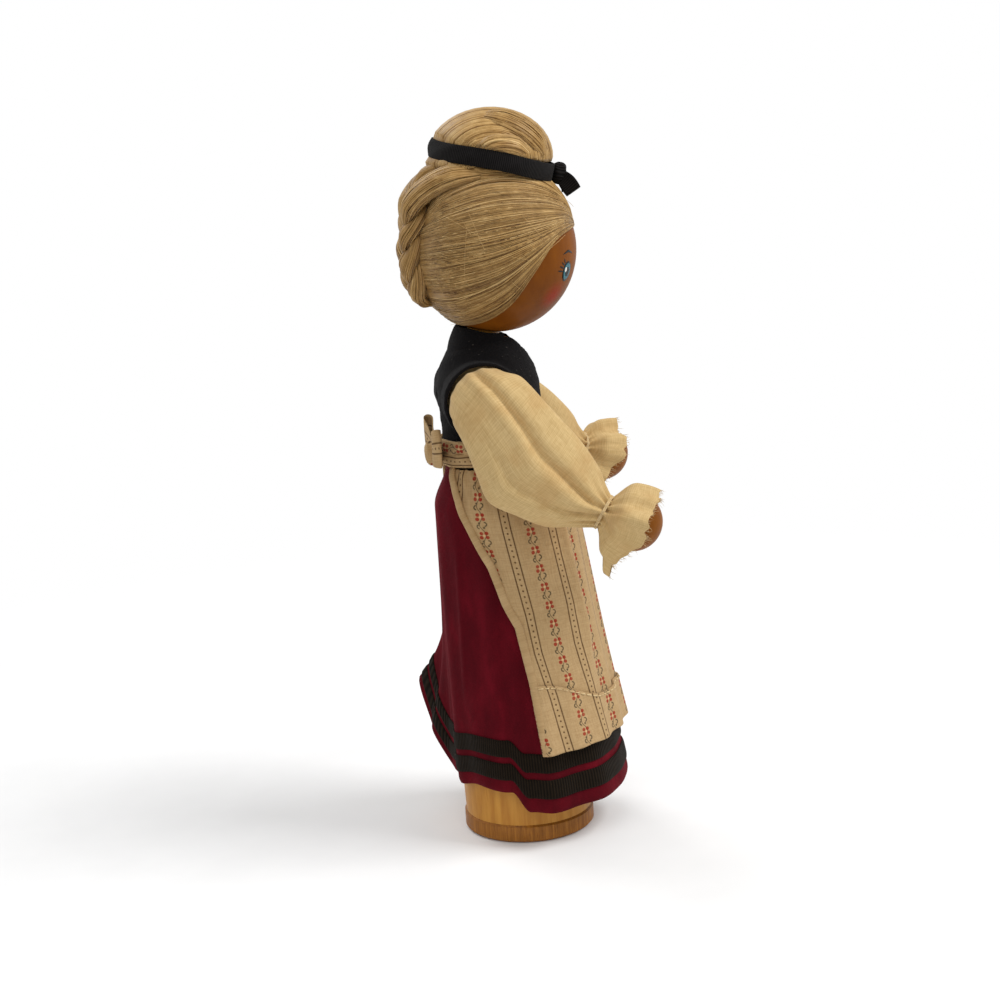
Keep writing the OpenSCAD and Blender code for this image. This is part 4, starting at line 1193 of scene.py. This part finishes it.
def braid():
    """Three locks plaited up the back of the head, from the nape to the bun."""
    t = np.linspace(0, 1, 90)
    polar = np.radians(130 - 100 * t)
    rise = 4.4 * np.clip((t - 0.5) / 0.5, 0, 1) ** 1.5
    way = np.stack([0 * t, np.sin(polar), np.cos(polar)], -1)
    parts = []
    for k in range(3):
        phase = 2 * np.pi * (BRAID_TURNS * t + k / 3)
        side = BRAID_SIDE * np.sin(phase)
        deep = BRAID_DEEP * np.sin(2 * phase)
        sink = -2.2 * (1 - ease(t / 0.22))
        side = side * (0.55 + 0.45 * ease(t / 0.3))
        far = HEAD_R + 1.2 + rise + deep + sink - 0.045 * side ** 2
        path = HEAD_C + way * far[:, None] + np.stack([side, 0 * t, 0 * t], -1)
        parts += lock(path, way, 3.4, 1.75, 60 + k, 110)
    hair_piece("hair_braid_plait", parts, "hair_braid")
    # Locks that leave the braid for the bun on both sides
    parts = []
    keys = np.array([
        [2.5, 21.6, 7.5], [5.0, 20.2, 12.6], [8.2, 16.4, 16.6], [11.2, 10.0, 19.4], [12.6, 2.5, 19.4],
    ])
    for side in (-1, 1):
        path = HEAD_C + catmull(keys, np.linspace(0, len(keys) - 1, 50)) * [side, 1, 1]
        parts += lock(path, unit(path - HEAD_C), 3.5, 2.1, 66 + side, 130)
    hair_piece("hair_braid_side_locks", parts)


def bun_place(out, forward, height):
    """Points on the bun's dome from shares of its radius: sideways, forwards and up from its middle."""
    rise = np.where(height > 0, BUN_TOP_H, BUN_UNDER_H)
    return HEAD_C + xyz(out * BUN_R, -forward * BUN_R, BUN_LOW_H + height * rise)


def bun_arch(across, turn, lift):
    """Points on arches over the dome: across is a sideways share, turn runs from 0 at the back to 1."""
    angle = np.radians(-26 + 220 * turn)
    across = across + 0.14 * np.cos(angle) * (1 - across ** 2)
    wide = np.sqrt(1 - across ** 2)
    grown = 1 + lift / BUN_R
    return bun_place(grown * across, -grown * wide * np.cos(angle), grown * wide * np.sin(angle))


def groove(across):
    """Depth of the hollows between the big locks."""
    return -0.9 * bell(across - 0.1, 0.05) - 0.5 * bell(across + 0.55, 0.05) - 0.5 * bell(across - 0.62, 0.05)


def bun_lock(side, points, half_w, half_h, seed):
    """A crossing lock on one side of the bun, through places given as forward and up shares."""
    keys = np.array(points, float)
    at = catmull(keys, np.linspace(0, len(keys) - 1, 40))
    out = side * np.sqrt(np.maximum(1 - at[:, 0] ** 2 - at[:, 1] ** 2, 0.02))
    path = bun_place(out, at[:, 0], at[:, 1])
    way = unit(path - HEAD_C - BUN_UP)
    ends = 1 - np.sin(np.pi * np.linspace(0, 1, len(path))) ** 0.6
    sink = (0.15 + 1.1 * ends)[:, None] * half_h
    return lock(path - sink * way, way, half_w, half_h, seed, 120, 0.58)


# Crossing locks of each side: places as forward and up shares, half width, half height and seed
CROSSINGS = (
    ([[-0.25, 0.95], [0.1, 0.84], [0.45, 0.62], [0.75, 0.28], [0.92, -0.12]], 3.6, 1.5, 80),
    ([[-0.42, -0.02], [-0.08, 0.29], [0.3, 0.26], [0.62, -0.02]], 2.3, 1.2, 83),
    ([[-0.7, -0.3], [-0.3, -0.5], [0.15, -0.6], [0.6, -0.5]], 2.4, 1.3, 86),
)


def bun():
    """Locks swept over the bun from back to front, with shorter locks that cross them at the sides."""
    across = np.linspace(-0.98, 0.98, 90)[:, None]
    turn = np.linspace(0, 1, 60)[None, :]
    outer, inner = (bun_arch(across, turn, groove(across) - deep) for deep in (0.15, 0.75))
    flat = flat_places(across, turn)
    # Painted shade: the shell under the strands has a darker tone than the strands' 0.58.
    parts = [(*shell(outer, inner, False, flat), np.full(2 * len(flat), 0.46))]
    rng = np.random.default_rng(70)
    count, steps = 760, 26
    turn = np.linspace(0, 1, steps)[None, :]
    across = rng.uniform(-0.98, 0.98, count)[:, None] + rng.normal(0, 0.012, count)[:, None] * (2 * turn - 1)
    path = bun_arch(across, turn, groove(across) + rng.uniform(-0.12, 0.2, count)[:, None])
    thick = rng.uniform(0.1, 0.24, count)[:, None]
    tone = rng.normal(0.58, 0.13, count)
    parts.append(strands(path, unit(path - HEAD_C - BUN_UP), thick, 0.9, across, turn, tone))
    hair_piece("hair_bun_locks", parts, "hair_bun")
    parts = []
    for side in (-1, 1):
        for points, half_w, half_h, seed in CROSSINGS:
            parts += bun_lock(side, points, half_w, half_h, seed + side)
    hair_piece("hair_bun_crossing_locks", parts)


def crown():
    """A dome of gathered hair under the bun."""
    rows, cols = 24, 60
    lat = np.linspace(0.02, np.pi / 2, rows)[:, None]
    lon = circle(cols)[None, :]
    dome = CROWN_R * xyz(np.sin(lat) * np.cos(lon), np.sin(lat) * np.sin(lon), np.cos(lat))
    points = (HEAD_C + np.array([0, 0, BUN_LOW_H - CROWN_SINK]) + dome).reshape(-1, 3)
    # Painted shade: the dome under the bun has the darker tone of the layers below.
    part = (points, grid_faces(rows, cols, True), flat_places(lon / 6, lat), np.full(rows * cols, SHADED_LAYER_TONE))
    hair_piece("hair_crown_dome", [part], "hair_crown", tied=False)


def stray_hairs():
    """Fine hairs that have come loose from the sides and the bun."""
    rng = np.random.default_rng(77)
    count, steps = 110, 14
    t = np.linspace(0, 1, steps)[None, :]
    way = unit(rng.normal(0, 1, (count, 3)) * [1, 1, 0.8] + [0, 0.35, 0.45])
    sweep = unit(np.cross(way, rng.normal(0, 1, (count, 3))))
    length = rng.uniform(0.15, 0.6, count)[:, None, None]
    arc = unit(way[:, None] + sweep[:, None] * length * t[..., None])
    height = rng.uniform(0.1, 0.5, count)[:, None] + rng.uniform(0.1, 0.8, count)[:, None] * t ** 2
    path = HEAD_C + arc * (hair_reach(arc) + height)[..., None]
    face = np.array([0.0, -math.cos(HAIRLINE_SLOPE), -math.sin(HAIRLINE_SLOPE)])
    behind = (arc @ face).max(1) < HAIRLINE_DROP / HEAD_R
    clear = behind & (arc[..., 1].max(1) < 0.6) & (arc[..., 2].max(1) < 0.6)
    points, faces = tubes(path[clear], arc[clear], 0.035, 4)
    flat = np.zeros((len(points), 2))
    make("hair_strays", points, faces, "head", FLAX, flat, np.full(len(points), 0.8))


hair_side(-1, "right")
hair_side(1, "left")
braid()
bun()
crown()
stray_hairs()


# Hair ribbon and its knot
def hair_ribbon():
    a = circle(200)[None, :]
    v = np.linspace(-1, 1, 16)[:, None]
    r = ribbon_r(a) - 0.35 * v ** 2 + 0.1 * np.sin(9 * a + 3 * v)
    h = v * HAIR_RIBBON_W / 2 + 0.25 * np.sin(3 * a)
    outer, inner = (ribbon_place(xyz(q * np.sin(a), q * np.cos(a), h)) for q in (r, r - 0.4))
    flat = flat_places(a * 16, v * 2.2)
    piece = cloth("hair_ribbon_band", outer, inner, True, flat, "head", BLACK)
    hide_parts("hair_ribbon")


def ribbon_tail(way, length):
    """A short tail of the knot, from its root, with a slanted cut."""
    way = unit(np.array(way))
    across = unit(np.cross(way, np.array([0.25, 0.0, 1.0])))
    out = np.cross(across, way)
    t = np.linspace(0, 1, 20)[:, None, None]
    v = np.linspace(-1, 1, 9)[None, :, None]
    half = 1.0 + 1.1 * np.sin(2.2 * t)
    droop = np.array([0.0, 0.0, -1.6]) * t ** 2
    grid = (np.array([0, KNOT_Y, 0.0]) + way * t * length * (1 + 0.14 * v) + droop
            + out * v * half + across * 0.3 * np.sin(3 * t) * v ** 2)
    flat = flat_places(t[..., 0] * length, v[..., 0] * 2.2)
    return shell(ribbon_place(grid), ribbon_place(grid + 0.3 * across), False, flat)


def ribbon_knot():
    p, f, u = pillow(np.array([0, KNOT_Y - 0.2, 0.0]), (2.2, 1.8, 2.6), 0.75)
    points, faces, flat = join([(ribbon_place(p), f, u), ribbon_tail((-0.62, -0.62, -0.3), 6.2),
                                ribbon_tail((0.75, -0.45, -0.2), 5.8)])
    piece = make("hair_ribbon_knot_cloth", points, faces, "head", BLACK, flat)
    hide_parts("hair_ribbon_knot")


hair_ribbon()
ribbon_knot()


# Painted face
def paint_patch(name, turn, drop, outline, layer, finish):
    """A painted shape on the ball. The outline is in millimetres to the right and up, seen from the front."""
    way = face_way(turn, drop)
    right = unit(np.array([math.cos(turn), math.sin(turn), 0.0]))
    up = np.cross(right, -way)
    up = up if up[2] > 0 else -up
    outline = np.asarray(outline, float)
    centre = outline.mean(0)
    rings = np.linspace(1, 0.0, 6)[:-1]
    rows = np.stack([centre + (outline - centre) * k for k in rings])
    flat = np.concatenate([rows.reshape(-1, 2), centre[None]])
    p = unit(way * HEAD_R + flat[:, :1] * right + flat[:, 1:] * up)
    points = HEAD_C + p * (HEAD_R + 0.02 + 0.02 * layer)
    count = len(outline)
    faces = grid_faces(len(rings), count, True).tolist()
    last = (len(rings) - 1) * count
    faces += [[last + i, last + (i + 1) % count, len(flat) - 1] for i in range(count)]
    return make(name, points, faces, "head", finish, flat)


def oval(half_x, half_y, cx, cy):
    """Outline of an oval round a middle."""
    a = circle(36)
    return xyz(cx + half_x * np.cos(a), cy + half_y * np.sin(a))


def stroke(points, width):
    """Outline of a brush stroke that tapers at both ends."""
    points = np.asarray(points, float)
    t = np.linspace(0, len(points) - 1, 14)
    path = np.stack([np.interp(t, np.arange(len(points)), points[:, k]) for k in range(2)], -1)
    run = unit(np.gradient(path, axis=0))
    normal = np.stack([-run[:, 1], run[:, 0]], -1)
    half = width / 2 * (0.15 + np.sin(np.pi * np.linspace(0.05, 0.95, 14)))[:, None]
    return np.concatenate([path + normal * half, (path - normal * half)[::-1]])


# Ovals of an eye: half width, half height, middle towards the outside and up, layer of paint and colour
EYE_OVALS = {
    "outline": (2.1, 2.55, 0.0, 0.0, 0, EYE_DARK), "iris": (1.7, 2.1, 0.0, 0.0, 2, EYE_TEAL),
    "pupil": (0.9, 1.15, -0.15, -0.1, 3, EYE_DARK), "light": (0.5, 0.62, 0.85, 0.55, 4, EYE_WHITE),
}
LASHES = ((1.9, 0.6), (1.5, 1.5), (0.9, 2.0), (0.2, 2.2))
UPPER_LIP = [(-1.9, 0.3), (-0.8, 0.75), (0, 0.5), (0.8, 0.75), (1.9, 0.3)]
LOWER_LIP = [(-1.5, 0.0), (0, -0.6), (1.5, 0.0)]


def eye(side, word):
    """An eye with its lashes and brow."""
    def patch(name, outline, layer, finish):
        paint_patch(f"eye_{name}", side * EYE_TURN, EYE_DROP, outline, layer, finish)

    for name, (half_x, half_y, cx, cy, layer, finish) in EYE_OVALS.items():
        patch(f"{name}_{word}", oval(half_x, half_y, cx * side, cy), layer, finish)
    for k, (rise, reach) in enumerate(LASHES):
        root = (side * (1.2 + 0.25 * k), rise)
        tip = (side * (1.6 + 0.3 * k + reach * 0.8), rise + 1.5 - 0.4 * k)
        patch(f"lash_{word}_{k}", stroke([root, tip], 0.34), 1, EYE_DARK)
    brow = [(-2.4 * side, 4.3), (0, 5.2), (2.6 * side, 4.5)]
    patch(f"brow_{word}", stroke(brow, 0.5), 0, EYE_DARK)


eye(-1, "right")
eye(1, "left")
paint_patch("mouth_upper", 0, MOUTH_DROP, stroke(UPPER_LIP, 0.9), 0, LIP_RED)
paint_patch("mouth_lower", 0, MOUTH_DROP, stroke(LOWER_LIP, 1.0), 0, LIP_RED)


# Camera at the photograph's viewing angle
CAMERA = np.array([-496.27, 60.93, 197.0])
LOOK = np.array([0.32, 2.60, 85.47])
ROLL = math.radians(-3.59)
SENSOR = 36.0
FOCAL_PX = 2033.0
IMAGE_PX = 1000.0
ahead = unit(LOOK - CAMERA)
right = unit(np.cross(ahead, [0, 0, 1.0]))
upward = np.cross(right, ahead)
rolled_right = right * math.cos(ROLL) + upward * math.sin(ROLL)
rolled_up = -right * math.sin(ROLL) + upward * math.cos(ROLL)
camera_data = bpy.data.cameras.new("camera")
camera_data.sensor_fit = "HORIZONTAL"
camera_data.sensor_width = SENSOR
camera_data.lens = FOCAL_PX * SENSOR / IMAGE_PX
camera_data.clip_start = 0.01
camera = show("camera", camera_data)
pose = Matrix.Identity(4)
for row in range(3):
    pose[row][0] = rolled_right[row]
    pose[row][1] = rolled_up[row]
    pose[row][2] = -ahead[row]
    pose[row][3] = CAMERA[row] * MM
camera.matrix_world = pose
bpy.context.scene.camera = camera


# Floor, light and background, in metres
FLOOR_REACH = 0.4
FLOOR_DROP = 0.0002
SKY_STRENGTH = 0.5
WHITE = (1, 1, 1, 1)
LIGHT_AIM = Vector((0, 0, 0.1))
LIGHTS = {
    "key": ((-0.25, -0.7, 0.92), 0.5, 8.0), "fill": ((-0.7, 0.28, 0.85), 0.6, 2.0),
    "back": ((0.6, 0.4, 0.8), 0.5, 3.0),
}


def floor_material():
    """Pale floor that fades out round the doll."""
    n = material("floor_pale", Roughness=0.9, Specular_IOR_Level=0.1)
    place = n.add("ShaderNodeTexCoord").outputs["Object"]
    grain = n.noise(place, 40.0)
    n.link(n.ramp(grain, (0.3, (0.92, 0.92, 0.92, 1)), (0.7, (0.95, 0.95, 0.95, 1))), "Base Color")
    away = n.add("ShaderNodeVectorMath", {"operation": "LENGTH"}, i0=place).outputs["Value"]
    n.link(n.below(away, 0.2, 0.14), "Alpha")
    return n.owner


mesh = bpy.data.meshes.new("floor")
corners = [(x * FLOOR_REACH, y * FLOOR_REACH, 0) for x, y in ((-1, -1), (1, -1), (1, 1), (-1, 1))]
mesh.from_pydata(corners, [], [(0, 1, 2, 3)])
mesh.materials.append(floor_material())
floor = show("floor", mesh)
floor.location.z = -FLOOR_DROP

# The sky lights the doll softly, and shows as white behind it and in reflections
world = bpy.data.worlds.new("studio")
bpy.context.scene.world = world
n = Nodes(world)
sky = n.tree.nodes["Background"]
sky.inputs["Color"].default_value = WHITE
sky.inputs["Strength"].default_value = SKY_STRENGTH
white = n.add("ShaderNodeBackground", Color=WHITE, Strength=1.0)
ray = n.add("ShaderNodeLightPath").outputs
shows = n.math("MAXIMUM", ray["Is Camera Ray"], ray["Is Glossy Ray"])
both = n.add("ShaderNodeMixShader", i0=shows, i1=sky.outputs[0], i2=white.outputs[0])
n.tree.links.new(both.outputs[0], n.tree.nodes["World Output"].inputs["Surface"])

for name, (place, size, power) in LIGHTS.items():
    data = bpy.data.lights.new(name, "AREA")
    data.energy = power
    data.size = size
    light = show(name, data)
    light.location = place
    light.rotation_euler = (LIGHT_AIM - Vector(place)).to_track_quat("-Z", "Y").to_euler()
bpy.context.scene.view_settings.view_transform = "Standard"
